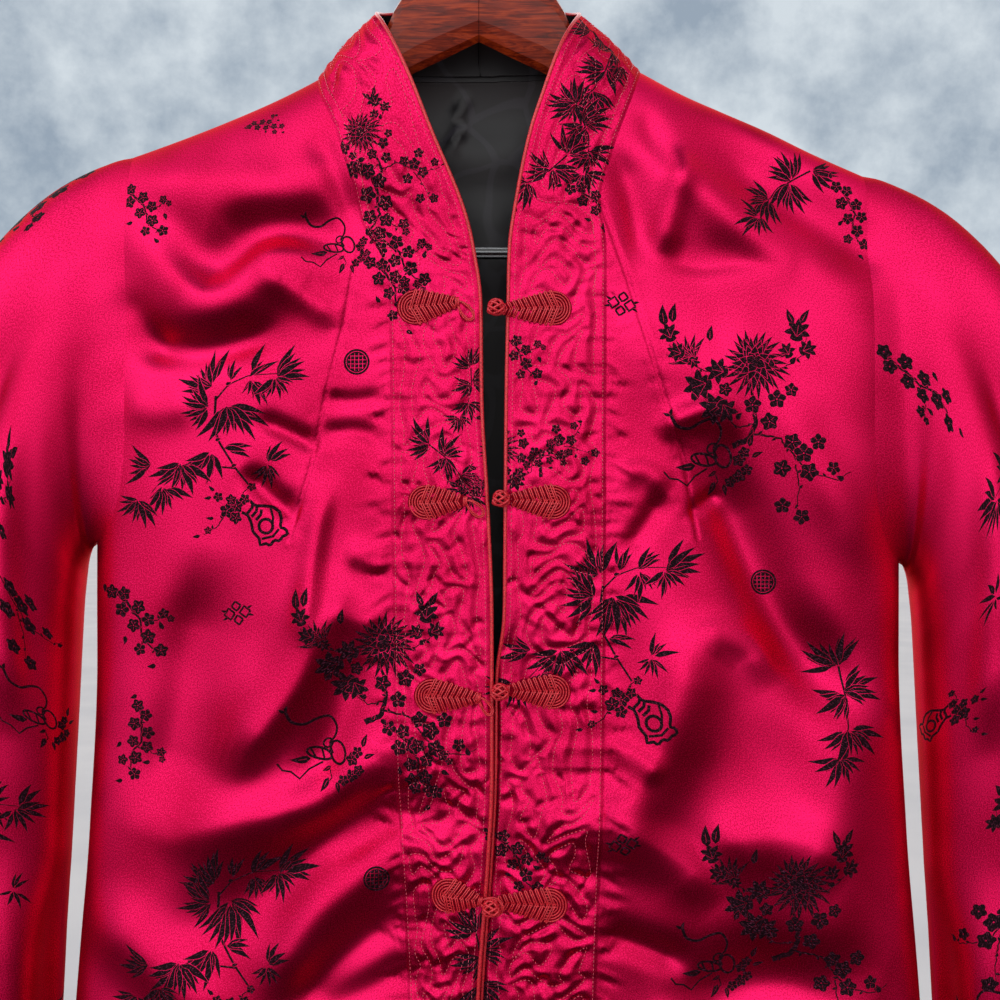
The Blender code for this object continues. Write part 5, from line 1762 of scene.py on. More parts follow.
@dataclass(frozen=True)
class PaleFloor(Finish):
    """Matt painted studio floor with slight clouds."""

    name: str = "pale_floor"

    def shader(self, tree: NodeTree) -> Inputs:
        """Give the floor its clouds."""
        place = add_node(tree, "ShaderNodeTexCoord").outputs["Object"]
        cloud = add_node(tree, "ShaderNodeTexNoise", {"Vector": place, "Scale": 3.0, "Detail": 4.0})
        stops = ((0.3, "c9ccd0"), (0.7, "d6d8da"))
        return {"Base Color": add_node(tree, "ShaderNodeValToRGB", {"Fac": cloud}, stops), "Roughness": 0.8}


# ---------------------------------------------------------------- geometry node trees


class PathTree:
    """Geometry node tree that turns edge paths into something laid along them."""

    def __init__(self, name: str, inputs: dict[str, str]) -> None:
        self.tree = bpy.data.node_groups.new(name, "GeometryNodeTree")
        for label, kind in {"Geometry": "Geometry", **inputs, "Material": "Material"}.items():
            self.tree.interface.new_socket(label, in_out="INPUT", socket_type=f"NodeSocket{kind}")
        self.tree.interface.new_socket("Geometry", in_out="OUTPUT", socket_type="NodeSocketGeometry")
        self.entry = add_node(self.tree, "NodeGroupInput").outputs
        curve = add_node(self.tree, "GeometryNodeMeshToCurve", {"Mesh": self.entry["Geometry"]})
        real = add_node(self.tree, "GeometryNodeRealizeInstances", {"Geometry": self.laid(curve)})
        smooth = add_node(self.tree, "GeometryNodeSetShadeSmooth", {"Geometry": real})
        dressed = {"Geometry": smooth, "Material": self.entry["Material"]}
        add_node(self.tree, "NodeGroupOutput", {0: add_node(self.tree, "GeometryNodeSetMaterial", dressed)})

    def laid(self, curve: Node) -> Node:
        """Add the nodes that lay something along the curves."""
        raise NotImplementedError

    def follow(self, name: str, paths: Sequence[Array], material: Material, **inputs: float) -> Object:
        """Run the tree along paths and keep the result as a plain mesh.

        Args:
            name: name of the object.
            paths: polylines in millimetres.
            material: material that the mesh is dressed in.
            inputs: the tree's other inputs, lengths in millimetres.

        Returns:
            The object, with no modifier left on it.
        """
        points, edges = [], []
        for path in paths:
            edges += [(len(points) + k, len(points) + k + 1) for k in range(len(path) - 1)]
            points += (np.asarray(path) * MM).tolist()
        mesh = bpy.data.meshes.new(name + "_path")
        mesh.from_pydata(points, edges, [])
        guide = new_object(name + "_path", mesh)
        modifier = guide.modifiers.new("Nodes", "NODES")
        modifier.node_group = self.tree
        for item in self.tree.interface.items_tree:
            if item.name == "Material":
                modifier[item.identifier] = material
            elif item.name in inputs:
                value = inputs[item.name]
                modifier[item.identifier] = value if isinstance(value, int) else value * MM
        result = bpy.data.meshes.new_from_object(guide.evaluated_get(bpy.context.evaluated_depsgraph_get()))
        result.name = name
        bpy.data.objects.remove(guide)
        bpy.data.meshes.remove(mesh)
        return new_object(name, result)


class CordTree(PathTree):
    """Tree that turns edge paths into round cords with closed ends."""

    def __init__(self) -> None:
        super().__init__("Cord", {"Radius": "Float", "Sides": "Int", "Step": "Float"})

    def laid(self, curve: Node) -> Node:
        """Sweep a circle along the curves."""
        even = {"Curve": curve, "Length": self.entry["Step"]}
        even = add_node(self.tree, "GeometryNodeResampleCurve", even, mode="LENGTH")
        ring = {"Resolution": self.entry["Sides"], "Radius": self.entry["Radius"]}
        ring = add_node(self.tree, "GeometryNodeCurvePrimitiveCircle", ring)
        swept = {"Curve": even, "Profile Curve": ring, "Fill Caps": True}
        return add_node(self.tree, "GeometryNodeCurveToMesh", swept)


class StitchTree(PathTree):
    """Tree that sews stitches of thread along edge paths, a little unevenly."""

    def __init__(self) -> None:
        super().__init__("Stitches", {"Pitch": "Float", "Length": "Float", "Thread": "Float", "Seed": "Int"})

    def laid(self, curve: Node) -> Node:
        """Set a long bead of thread at every stitch."""
        spots = {"Curve": curve, "Length": self.entry["Pitch"]}
        spots = add_node(self.tree, "GeometryNodeCurveToPoints", spots, mode="LENGTH")
        stitch = add_node(self.tree, "GeometryNodeMeshUVSphere", {"Segments": 4, "Rings": 3, "Radius": 0.5})
        uneven = {2: 0.85, 3: 1.1, "Seed": self.entry["Seed"]}
        uneven = add_node(self.tree, "FunctionNodeRandomValue", uneven, data_type="FLOAT")
        length = {0: self.entry["Length"], 1: uneven.outputs[1]}
        length = add_node(self.tree, "ShaderNodeMath", length, operation="MULTIPLY")
        thread = self.entry["Thread"]
        size = add_node(self.tree, "ShaderNodeCombineXYZ", {0: thread, 1: thread, 2: length})
        sewn = {"Points": spots, "Instance": stitch, "Rotation": spots.outputs[3], "Scale": size}
        return add_node(self.tree, "GeometryNodeInstanceOnPoints", sewn)


# ---------------------------------------------------------------- the jacket


class Finishes:
    """Materials of the whole object, made once."""

    def __init__(self) -> None:
        self.satin, self.motif = SatinBrocade().build(), MotifThread().build()
        self.lining, self.cord = LiningTwill().build(), CoralCord().build()
        self.thread = CoralCord("coral_thread", "ff7890", "e0405c", 0.5).build()
        # the frogs' backing is painted shade: a dark red sheet that shows in the gaps between the cords
        self.pad = CoralCord("cord_backing", "a00a24", "70061a", 0.5, 0.8, 0.0, 0.0, 0.0).build()
        self.wood, self.chrome, self.tube = VarnishedWood().build(), ChromedSteel().build(), SmokedTube().build()
        self.brocade = [self.satin, self.motif, self.lining]


class Forms:
    """Charts of every piece of cloth, made once."""

    def __init__(self) -> None:
        self.body = Body()
        self.front = PanelChart(self.body, Face.FRONT, FRONT_FOLDS)
        self.back = PanelChart(self.body, Face.BACK, BACK_FOLDS)
        self.front.extra.append(Ripples(11, 0.9, 50, 120))
        self.back.extra.append(Ripples(12, 1.2, 100, 220))
        self.front.extra += [self.front_details(side) for side in Side]
        self.bands = {side: BandChart(side, self.front, self.back) for side in Side}
        self.sleeves = {side: SleeveChart(side, self.front, self.back, SLEEVE_FOLDS) for side in Side}

    def front_details(self, side: Side) -> ReliefMap:
        """Dart groove and seam puckers of one front, on a grid over x and z."""
        body, sign = self.body, side.value
        low_x, high_x = sorted((sign * DETAIL_NEAR_X, sign * DETAIL_FAR_X))
        relief = ReliefMap((low_x, body.hem_z), (high_x, DETAIL_TOP_Z), DETAIL_PITCH)
        dart = resampled(DARTS[side], 1.0)
        away = relief.distances(dart, DART_REACH)
        rim, groove = np.exp(-(((away - 2.8) / 2.2) ** 2)), np.exp(-((away / 0.9) ** 2))
        relief.heights += np.where(away < DART_REACH - 0.1, 0.3 * rim - 0.8 * groove, 0)
        rng = np.random.default_rng(31 + sign)
        for start in dart[::PUCKER_EVERY]:
            for first, last, base in ((-10, 35, 180), (-35, 10, 0)):
                turn = math.radians(base + rng.uniform(first, last))
                end = start + rng.uniform(7, 17) * direction(turn)
                relief.crease(start, end, rng.uniform(1.8, 3.0), rng.uniform(-0.5, 0.35))
        for z in np.arange(body.hem_z + 4, QUILT_TOP_Z, PUCKER_PITCH):
            z = z + rng.uniform(-2.5, 2.5)
            x = float(body.outer_x[side](z))
            length = rng.uniform(7, 20)
            turn = math.radians(rng.uniform(-40, 30))
            start = np.array((x - sign * 2, z))
            end = start + sign * length * np.array((math.cos(turn), sign * math.sin(turn)))
            relief.crease(start, end, rng.uniform(1.6, 2.8), rng.uniform(-0.8, -0.2), rng.uniform(-1.5, 1.5))
            relief.crease(start + (0, 3.2), end + (0, 4.2), rng.uniform(1.8, 3.0), rng.uniform(0.2, 0.6))
        return relief


def adopt(obj: Object, slot: str, *nodes: str) -> None:
    """Make a piece ride on the object's one body, log its faces under a slot's name and hide the CAD nodes it
    stands for.
    """
    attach(obj, "root")
    if nodes:
        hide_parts(*nodes)
    LOG.info("%s: %d faces in %s", nodes[0] if nodes else obj.name, len(obj.data.polygons), slot)


def hang(obj: Object, slot: str, node: str) -> None:
    """Make a piece of cloth ride on the body and stand for its CAD node, as adopt does.

    Args:
        obj: the piece.
        slot: the record's slot that is logged with it.
        node: CAD node that it stands for.
    """
    adopt(obj, slot, node)


@dataclass
class ClothPiece:
    """One cut piece of cloth: its chart, its flat cut, its thickness and what holds it."""

    name: str
    chart: Chart
    cloth: FlatCloth
    wall: float
    rests_on: tuple[str, ...]
    inner: Chart | None = None

    def build(self, materials: Sequence[Material], slot: str = BROCADE_SLOT) -> None:
        inner_pitch = INNER_PITCH[self.cloth.pitch < 3]
        made = shell(self.chart, self.inner or self.chart, self.cloth, self.wall, inner_pitch)
        obj = cloth_object(self.name, made, materials)
        hang(obj, slot, self.name)


def figure_shapes(
    placements: Sequence[Placement], unfold: Callable | None, seed: int, fine: bool = True
) -> list[Shape]:
    """Shapes of all figures at their places, on flat cloth.

    Args:
        placements: figures by their place on the garment, or on flat cloth.
        unfold: chart's way from the garment's x and z to flat cloth, or none.
        seed: start of the figures' own draws.
        fine: whether ribs and veins are drawn.

    Returns:
        Flat shapes in order, without any that the form would stretch out of shape.
    """
    shapes = []
    for number, place in enumerate(placements):
        figure = Figure(seed + number, fine)
        place.kind.value(figure)
        for shape, woven in figure.placed(place):
            flat = unfold(*shape.T) if unfold else shape
            drawn, laid = (np.linalg.norm(np.diff(points, axis=0), axis=1) for points in (shape, flat))
            if (laid < MOST_STRETCH * drawn + 0.3).all():
                shapes.append((flat, woven))
    return shapes


@dataclass
class Fronts:
    """Side part of each front, from the quilting line to the side seam and the armhole."""

    forms: Forms
    pitch: float = 2.3
    wall: float = 1.6
    dart_guides: tuple[float, ...] = (-2.6, -1.2, 0.0, 1.2, 2.6)

    def build(self, finishes: Finishes) -> None:
        """Make both fronts."""
        body, chart = self.forms.body, self.forms.front
        for side in Side:
            heights, outer_x = body.band_heights(side), body.outer_x[side]
            hem = chart.hem(float(body.side_x(side, body.hem_z)), float(outer_x(body.hem_z)), HEM_POINTS)
            outline = np.concatenate((chart.unfold(outer_x(heights), heights), chart.side_edge(side), hem))
            dart = resampled(DARTS[side], 2.2)
            guides = [chart.unfold(*(dart + sideways(dart) * off).T) for off in self.dart_guides]
            figures = figure_shapes(FRONT_FIGURES, chart.unfold, FIGURE_SEED)
            cloth = FlatCloth(outline, self.pitch, figures, guides)
            piece = ClothPiece(f"front_{side.word}", chart, cloth, self.wall, (f"hanger_{side.word}",))
            piece.build(finishes.brocade)


@dataclass
class Back:
    """Back of the jacket and its lining."""

    forms: Forms
    pitch: float = 4.2
    wall: float = 1.2
    lining_inset: float = 1.9
    lining_wall: float = 0.8
    lining_size: tuple[float, float] = (0.992, 0.99)

    def outline(self) -> Array:
        """Flat outline of the back."""
        body, chart = self.forms.body, self.forms.back
        neck_x = np.linspace(body.neck_x(Side.LEFT), body.neck_x(Side.RIGHT), NECK_POINTS)
        neck = chart.unfold(neck_x, body.neck_z(neck_x))
        ends = [float(body.side_x(side, body.hem_z)) for side in (Side.RIGHT, Side.LEFT)]
        hem = chart.hem(*ends, 2 * HEM_POINTS)
        return np.concatenate((neck, chart.side_edge(Side.RIGHT), hem, chart.side_edge(Side.LEFT)[::-1]))

    def build(self, finishes: Finishes) -> None:
        """Make the back and the lining inside it."""
        chart, outline = self.forms.back, self.outline()
        hangers = ("hanger_left", "hanger_right")
        figures = figure_shapes(BACK_FIGURES, chart.unfold, FIGURE_SEED + 50, False)
        cloth = FlatCloth(outline, self.pitch, figures)
        ClothPiece("back", chart, cloth, self.wall, hangers).build(finishes.brocade)
        inside = Inside(chart, self.lining_inset, LINING_FOLDS)
        centre = outline.mean(axis=0)
        cut = FlatCloth(centre + (outline - centre) * self.lining_size, LINING_PITCH)
        lining = ClothPiece("lining_back", inside, cut, self.lining_wall, hangers)
        lining.build([finishes.lining], LINING_SLOT)


@dataclass
class Sleeves:
    """Set-in sleeves, open at the cuff."""

    forms: Forms
    pitch: float = 4.5
    wall: float = 1.2

    def outline(self, chart: SleeveChart) -> Array:
        """Flat outline of a sleeve, cut open along its underarm seam."""
        lengths = np.linspace(0, chart.length, SLEEVE_SIDE_POINTS)
        halves = np.interp(lengths, chart.stations, chart.half_round)
        top = np.linspace(-halves[0], halves[0], SLEEVE_TOP_POINTS)
        cuff = np.linspace(halves[-1], -halves[-1], SLEEVE_CUFF_POINTS)
        lines = (
            (np.zeros(SLEEVE_TOP_POINTS), top),
            (lengths[1:-1], halves[1:-1]),
            (np.full(SLEEVE_CUFF_POINTS, chart.length), cuff),
            (lengths[-2:0:-1], -halves[-2:0:-1]),
        )
        return np.concatenate([np.stack(line, axis=1) for line in lines])

    def build(self, finishes: Finishes) -> None:
        """Make both sleeves."""
        for side, chart in self.forms.sleeves.items():
            figures = figure_shapes(SLEEVE_FIGURES[side], None, FIGURE_SEED + 80 + side.value, False)
            cloth = FlatCloth(self.outline(chart), self.pitch, figures)
            holders = (f"hanger_{side.word}", "back")
            ClothPiece(f"sleeve_{side.word}", chart, cloth, self.wall, holders).build(finishes.brocade)


def meander(columns: int, rows: int, rng: np.random.Generator) -> Array:
    """Closed path that wanders through half-cells, round a random tree of cells.

    Args:
        columns: cells across.
        rows: cells along.
        rng: source of random choices.

    Returns:
        Half-cells in order, as (row, column).
    """
    cells = [(r, c) for r in range(rows) for c in range(columns)]
    walls = [((r, c), (r, c + 1)) for r, c in cells if c < columns - 1]
    walls += [((r, c), (r + 1, c)) for r, c in cells if r < rows - 1]
    group = {cell: number for number, cell in enumerate(cells)}
    doors = set()
    for k in rng.permutation(len(walls)):
        a, b = walls[k]
        if group[a] != group[b]:
            doors |= {(a, b), (b, a)}
            old, new = group[a], group[b]
            group = {cell: new if number == old else number for cell, number in group.items()}
    links: dict[tuple[int, int], list[tuple[int, int]]] = {}
    for cell in cells:
        r, c = 2 * cell[0], 2 * cell[1]
        steps = ((0, 1), (1, 0), (0, -1), (-1, 0))
        right, below, left, above = ((cell, (cell[0] + down, cell[1] + out)) in doors for down, out in steps)
        far, low, corner = (r, c + 1), (r + 1, c), (r + 1, c + 1)
        joins = [(far, (r, c + 2)), (corner, (r + 1, c + 2))] if right else [(far, corner)]
        joins += [(low, (r + 2, c)), (corner, (r + 2, c + 1))] if below else [(low, corner)]
        joins += [((r, c), low)] * (not left) + [((r, c), far)] * (not above)
        for a, b in joins:
            links.setdefault(a, []).append(b)
            links.setdefault(b, []).append(a)
    path, here = [(0, 0)], links[(0, 0)][0]
    while here != (0, 0):
        path.append(here)
        here = next(place for place in links[here] if place != path[-2])
    return np.array(path, float)


@dataclass
class Bands:
    """Quilted centre bands with the stand collar, their piping and their stitches."""

    forms: Forms
    pitch: float = 1.2
    wall: float = 1.6
    margin: float = 3.4
    puff: float = 1.0
    puff_reach: float = 3.2
    deepest: float = 0.85
    sway: float = 5.5
    swell: tuple[float, float, float] = (1.45, 1.3, 0.95)
    sway_length: float = 5.8
    stitch_lift: float = 0.4
    piping_sink: float = 0.2

    def quilting(self, chart: BandChart, rng: np.random.Generator) -> Array:
        """Flat line of the quilting's stitches, which meanders over one band."""
        rows = int(chart.length / QUILT_CELL)
        path = meander(3, rows, rng)
        t = (path[:, 0] + 0.5) / (2 * rows) * (chart.length - 2 * self.margin) + self.margin
        t += rng.uniform(-2.4, 2.4, len(t))
        share = (path[:, 1] + 0.5) / 6 + rng.uniform(-0.03, 0.03, len(t))
        width = chart.at(t, chart.widths)
        turns = rng.uniform(0, 2 * math.pi, 2)
        drift = self.sway * np.sin(share * width / self.sway_length + t / (2.5 * self.sway_length) + turns[0])
        aside = 0.6 * self.sway * np.sin(t / self.sway_length + turns[1]) * np.sin(math.pi * share)
        t = np.clip(t + drift, self.margin, chart.length - self.margin)
        across = np.clip(self.margin + share * (width - 2 * self.margin) + aside, self.margin, width - self.margin)
        line = np.stack((t, across), axis=1)
        closed = np.concatenate((line[-2:], line, line[:3]))
        line = catmull(np.arange(len(closed), dtype=float), closed, np.arange(2, len(line) + 2, 1 / 6))
        return resampled(line, QUILT_LINE_STEP)

    def quilt(self, side: Side) -> Array:
        """Raise the cloth of one band between its stitches and return their flat line."""
        chart, rng = self.forms.bands[side], np.random.default_rng(70 + side.value)
        line = self.quilting(chart, rng)
        length, widest = chart.length, float(chart.widths.max())
        relief = ReliefMap((0.0, -2.0), (length, widest + 2), QUILT_MAP_PITCH)
        away = relief.distances(line, QUILT_REACH)
        relief.heights = self.puff * (1 - np.exp(-((away / self.puff_reach) ** 2)))
        for _ in range(int(length * widest / CREASE_AREA)):
            start = np.array((rng.uniform(4, length - 4), rng.uniform(3, widest - 3)))
            turn = math.radians(rng.choice((-1, 1)) * rng.uniform(18, 62))
            end = start + rng.uniform(7, 14) * direction(turn)
            height = rng.uniform(-0.95, -0.4) if rng.random() < 0.6 else rng.uniform(0.3, 0.65)
            relief.crease(start, end, rng.uniform(1.6, 2.8), height, rng.uniform(-2.8, 2.8))
        relief.heights = np.maximum(relief.heights, -self.deepest)

        def heights(flat: Array) -> Array:
            """Height of the quilting, gone at the band's edges."""
            t, a = flat.T
            fade = np.clip(a / 2.5, 0, 1) * np.clip((chart.at(t, chart.widths) - a) / 3.0, 0, 1)
            ends = np.clip(t / 2.5, 0, 1) * np.clip((length - t) / 2.5, 0, 1)
            return relief(t, a) * fade * ends * np.interp(t, SWELL_STATIONS, self.swell)

        chart.relief = heights
        return line

    def outline(self, side: Side) -> Array:
        """Flat outline of one band."""
        chart = self.forms.bands[side]
        start, edge = (np.stack((chart.stations, width), axis=1) for width in (0 * chart.widths, chart.widths))
        top = np.stack((np.full(9, chart.stations[-1]), np.linspace(0, chart.widths[-1], 11)[1:-1]), axis=1)
        hem = np.stack((np.zeros(12), np.linspace(chart.widths[0], 0, 14)[1:-1]), axis=1)
        return np.concatenate((start, top, edge[::-1], hem))

    def build(self, finishes: Finishes, sewing: PathTree, cording: PathTree) -> None:
        """Make both bands with their stitches and piping."""
        for side, chart in self.forms.bands.items():
            line = self.quilt(side)
            figures = figure_shapes(FRONT_FIGURES, chart.unfold, FIGURE_SEED)
            figures += figure_shapes(BAND_FIGURES[side], chart.unfold, FIGURE_SEED + 40)
            figures += figure_shapes(COLLAR_FIGURES[side], None, FIGURE_SEED + 20)
            cloth, smooth = FlatCloth(self.outline(side), self.pitch, figures), Inside(chart, 0.0, smooth=True)
            name = f"band_{side.word}"
            ClothPiece(name, chart, cloth, self.wall, (f"hanger_{side.word}",), smooth).build(finishes.brocade)
            paths = self.stitch_paths(chart, line)
            sizes = {"Pitch": STITCH_PITCH, "Length": STITCH_LENGTH, "Thread": STITCH_THREAD}
            stitches = sewing.follow(f"stitches_{side.word}", paths, finishes.thread, Seed=5, **sizes)
            adopt(stitches, CORD_SLOT)
            name, path = f"piping_{side.word}", chart.edge_line - chart.lean * self.piping_sink
            piping = cording.follow(name, [path], finishes.cord, Radius=PIPING_RADIUS, Sides=10, Step=2.0)
            adopt(piping, CORD_SLOT, name)

    def stitch_paths(self, chart: BandChart, line: Array) -> list[Array]:
        """Lines just above the cloth of the quilting, the two topstitched edges and the collar's second row."""
        above, neck = Inside(chart, -self.stitch_lift), chart.neck_station
        t = chart.stations[2:-2:2]
        collar = t[t > np.interp(COLLAR_STITCH_Z, chart.seam_line[:neck, 2], chart.stations[:neck])]
        rows = (
            (t, chart.at(t, chart.widths) - PIPING_STITCH_IN),
            (t, np.full(len(t), SEAM_STITCH_IN)),
            (collar, np.full(len(collar), SEAM_STITCH_IN + 4.2)),
        )
        return [above.place(line), *(above.place(np.stack(row, axis=1)) for row in rows)]


@dataclass
class CollarLining:
    """Black inner face of the stand collar, with a seam at the centre back."""

    forms: Forms
    inset: float = 2.9
    pitch: float = 3.0
    wall: float = 0.8
    start_z: float = -150.0
    shares: tuple[float, float] = (0.06, 0.94)

    def build(self, finishes: Finishes) -> None:
        """Make the lining of both halves of the collar as one piece."""
        halves, sizes, area = [], [], 0.0
        for chart in self.forms.bands.values():
            inside = Inside(chart, self.inset, smooth=True)
            first = int(np.argmin(np.abs(chart.seam_line[: chart.neck_station, 2] - self.start_z)))
            t, width = chart.stations[first:], chart.widths[first:]
            low, high = (np.stack((t, width * share), axis=1) for share in self.shares)
            outline = anticlockwise(np.concatenate((low, high[::-1])))
            halves.append(shell(inside, inside, FlatCloth(outline, self.pitch), self.wall, self.pitch))
            sizes.append(outline.max(axis=0) - outline.min(axis=0))
            area += abs(signed_area(outline))
        obj = cloth_object("lining_collar", halves[0].joined(halves[1]), [finishes.lining])
        hang(obj, LINING_SLOT, "lining_collar")


class FrogRow(NamedTuple):
    """Half of a frog: its outer end, the tip of its braid, and the middle and radius of its loop or knot."""

    name: str
    side: Side
    end: tuple[float, float]
    tip: tuple[float, float]
    head: tuple[float, float, float]
    radius: float


FROG_ROWS = table_of(
    FrogRow,
    ("frog_1_loop", Side.LEFT, (-43.3, -259.3), (-10.2, -255.5), (-5.5, -41.6, -261.5), 4.4),
    ("frog_2_loop", Side.LEFT, (-37.5, -362.6), (-5.9, -361.5), (-0.3, -41.6, -366.5), 4.4),
    ("frog_3_loop", Side.LEFT, (-34.2, -464.9), (1.2, -466.5), (5.2, -41.6, -472.2), 3.8),
    ("frog_4_loop", Side.LEFT, (-25.1, -569.5), (1.8, -575.5), (7.0, -44.6, -576.8), 6.5),
    ("frog_1_knot", Side.RIGHT, (50.3, -258.7), (12.0, -259.3), (9.7, -45.2, -259.3), 5.2),
    ("frog_2_knot", Side.RIGHT, (49.8, -362.6), (15.0, -360.5), (12.3, -45.2, -360.5), 5.2),
    ("frog_3_knot", Side.RIGHT, (49.8, -463.8), (15.0, -462.7), (11.8, -45.2, -462.7), 5.2),
    ("frog_4_knot", Side.RIGHT, (48.2, -577.8), (8.0, -577.0), (7.0, -46.4, -576.8), 5.2),
)


class Frog:
    """Half of a frog fastening in doubled cord: a coil and a braid, then a loop or a ball knot."""

    cord_radius: ClassVar[float] = 0.43
    ball_radius: ClassVar[float] = 0.7
    half_height: ClassVar[float] = 9.7
    tip_half: ClassVar[float] = 3.0
    coil_pitch: ClassVar[float] = 1.45
    chevron_pitch: ClassVar[float] = 3.1

    def __init__(self, row: FrogRow, forms: Forms) -> None:
        self.row, self.end, self.tip = row, np.array(row.end), np.array(row.tip)
        self.head = np.array(row.head)
        self.length = math.hypot(*(self.tip - self.end))
        self.share = np.linspace(0, 1, 8)
        self.levels = self._levels(forms)

    def _levels(self, forms: Forms) -> list[float]:
        chart, band, row = forms.front, forms.bands[self.row.side], self.row
        levels: list[float] = []
        for px, pz in self.end + np.outer(self.share, self.tip - self.end):
            heights = []
            for z in (pz - 7, pz, pz + 7):
                spot = np.array(((px,), (z,)))
                flat = band.unfold(*spot)
                if 0 <= flat[0, 1] <= band.at(flat[0, 0], band.widths):
                    heights.append(float(band.place(flat)[0, 1]))
                elif (px - float(forms.body.outer_x[row.side](pz))) * row.side.value > 0:
                    heights.append(float(chart.place(chart.unfold(*spot))[0, 1]))
            levels.append(min(heights) if heights else levels[-1])
        return levels

    def ground(self, s: Array | float) -> Array:
        """Height of the cloth under the frog, by the distance along it."""
        return np.interp(s, self.share * self.length, self.levels)

    def laid(self, local: Array, lift: Array | float) -> Array:
        """Points in space of the frog's own (along, across) points at a height over the cloth."""
        axis = unit(self.tip - self.end)
        across = np.array((-axis[1], axis[0]))
        flat = self.end + np.outer(local[:, 0], axis) + np.outer(local[:, 1], across)
        y = self.ground(local[:, 0]) - self.cord_radius * 0.7 - lift
        return np.stack((flat[:, 0], y, flat[:, 1]), axis=1)

    def half_width(self, s: Array) -> Array:
        """Half of the frog's height at each distance from its outer end."""
        start = self.half_height
        share = np.clip((s - start) / (self.length - start), 0, 1) ** 1.15
        round_part = np.sqrt(np.clip(start**2 - (s - start) ** 2, 0, None))
        return np.where(s < start, round_part, start * (1 - share) + self.tip_half * share)

    def pad(self, material: Material) -> Object:
        """Sheet of painted shade that fills the frog's outline under its cords, so the gaps between them show
        dark.
        """
        round_part = self.half_height * (1 - np.cos(np.linspace(0.05, math.pi / 2, 10)))
        s = np.concatenate((round_part, np.linspace(self.half_height + 1, self.length, 16)))
        across = np.outer(self.half_width(s) - 0.5, np.linspace(-1, 1, 7)).ravel()
        local = np.stack((np.repeat(s, 7), across), axis=1)
        low, faces = len(local), []
        for k in range(7 * (len(s) - 1)):
            if (k + 1) % 7:
                faces += [(k, k + 1, k + 8, k + 7), (low + k, low + k + 7, low + k + 8, low + k + 1)]
        points = np.concatenate((self.laid(local, 0.1), self.laid(local, -0.9)))
        return mesh_object(self.row.name + "_pad", points, faces, [material])

    def coil(self) -> list[Array]:
        """Rings of cord round the frog's outer end, whose ends run on under the braid."""
        paths = []
        a, tail = np.linspace(math.pi / 2, 3 * math.pi / 2, 30), np.linspace(3.0, 0.4, 5)[:, None] * (1.0, 0.0)
        for radius in np.arange(1.3, self.half_height, self.coil_pitch):
            ring = np.stack((self.half_height + radius * np.cos(a), radius * np.sin(a)), axis=1)
            path = np.concatenate((ring[0] + tail, ring, ring[-1] + tail[::-1]))
            paths.append(self.laid(path, 0.3 + 0.35 * (radius > 2)))
        return paths

    def braid(self) -> list[Array]:
        """Herringbone of doubled strands between the coil and the tip."""
        start, gap, paths = self.half_height - 3.4, 2.75 * self.cord_radius, []
        out = np.linspace(-0.12, 1, 9)
        for k in range(int((self.length - start - 1.0) / self.chevron_pitch)):
            s = start + self.chevron_pitch * (k + 0.2)
            half = float(self.half_width(np.array((s + 2.5,)))[0]) - 0.2
            for flank in (-1, 1):
                rise = np.stack((s + 0.42 * half * out, flank * (half - 0.6) * out), axis=1)
                cap = np.array(((rise[-1, 0] + gap * 0.5 + 0.1, flank * (half + 0.05)),))
                local = np.concatenate((rise, cap, rise[::-1] + (gap, 0.0)))
                bulge = np.sin(math.pi * np.clip(0.15 + 0.85 * (np.abs(local[:, 1]) / half), 0, 1))
                paths.append(self.laid(local, 0.55 + 0.85 * bulge + (0.25 if flank > 0 else 0.0)))
        wrap = np.linspace(-0.5 * math.pi, 4.5 * math.pi, 40)
        local = np.stack((self.length - 1.6 + wrap * 0.12, self.tip_half * 0.8 * np.sin(wrap)), axis=1)
        paths.append(self.laid(local, 0.9 + 0.9 * np.cos(wrap)))
        return paths

    def loop(self) -> list[Array]:
        """Leaf-shaped loop of doubled cord that hangs from the tip."""
        head = self.head[[0, 2]]
        run = unit(head - self.tip)
        length = float(np.linalg.norm(head - self.tip)) + self.row.radius
        tip_y, widest = float(self.ground(self.length)) - 1.4, self.row.radius * 0.72
        t, paths = np.linspace(0, 2 * math.pi, 40), []
        for width in (widest, widest - 2 * self.cord_radius):
            along = length * (1 - np.cos(t)) / 2 - (widest - width) * np.clip(-np.cos(t), 0, 1) ** 4
            aside = width * np.sin(t) * (0.75 + 0.45 * np.sin(t / 2) ** 2)
            flat = self.tip + np.outer(along, run) + np.outer(aside, (-run[1], run[0]))
            y = tip_y + (self.head[1] + 1.2 - tip_y) * np.clip(along / length, 0, 1)
            paths.append(np.stack((flat[:, 0], y, flat[:, 1]), axis=1))
        return paths

    def knot(self) -> Array:
        """Path of the cord that the ball knot is woven of."""
        t = np.linspace(0, 2 * math.pi, 420)
        turn, wave = 5 * t, 7 * t
        tilt = math.radians(62) * np.sin(wave)
        radius = self.row.radius - self.ball_radius + 0.4 * np.sin(2 * wave + turn)
        ball = np.stack((np.sin(tilt), np.cos(tilt) * np.cos(turn), np.cos(tilt) * np.sin(turn)), axis=1)
        return self.head + ball * (1, 0.85, 0.9) * radius[:, None]

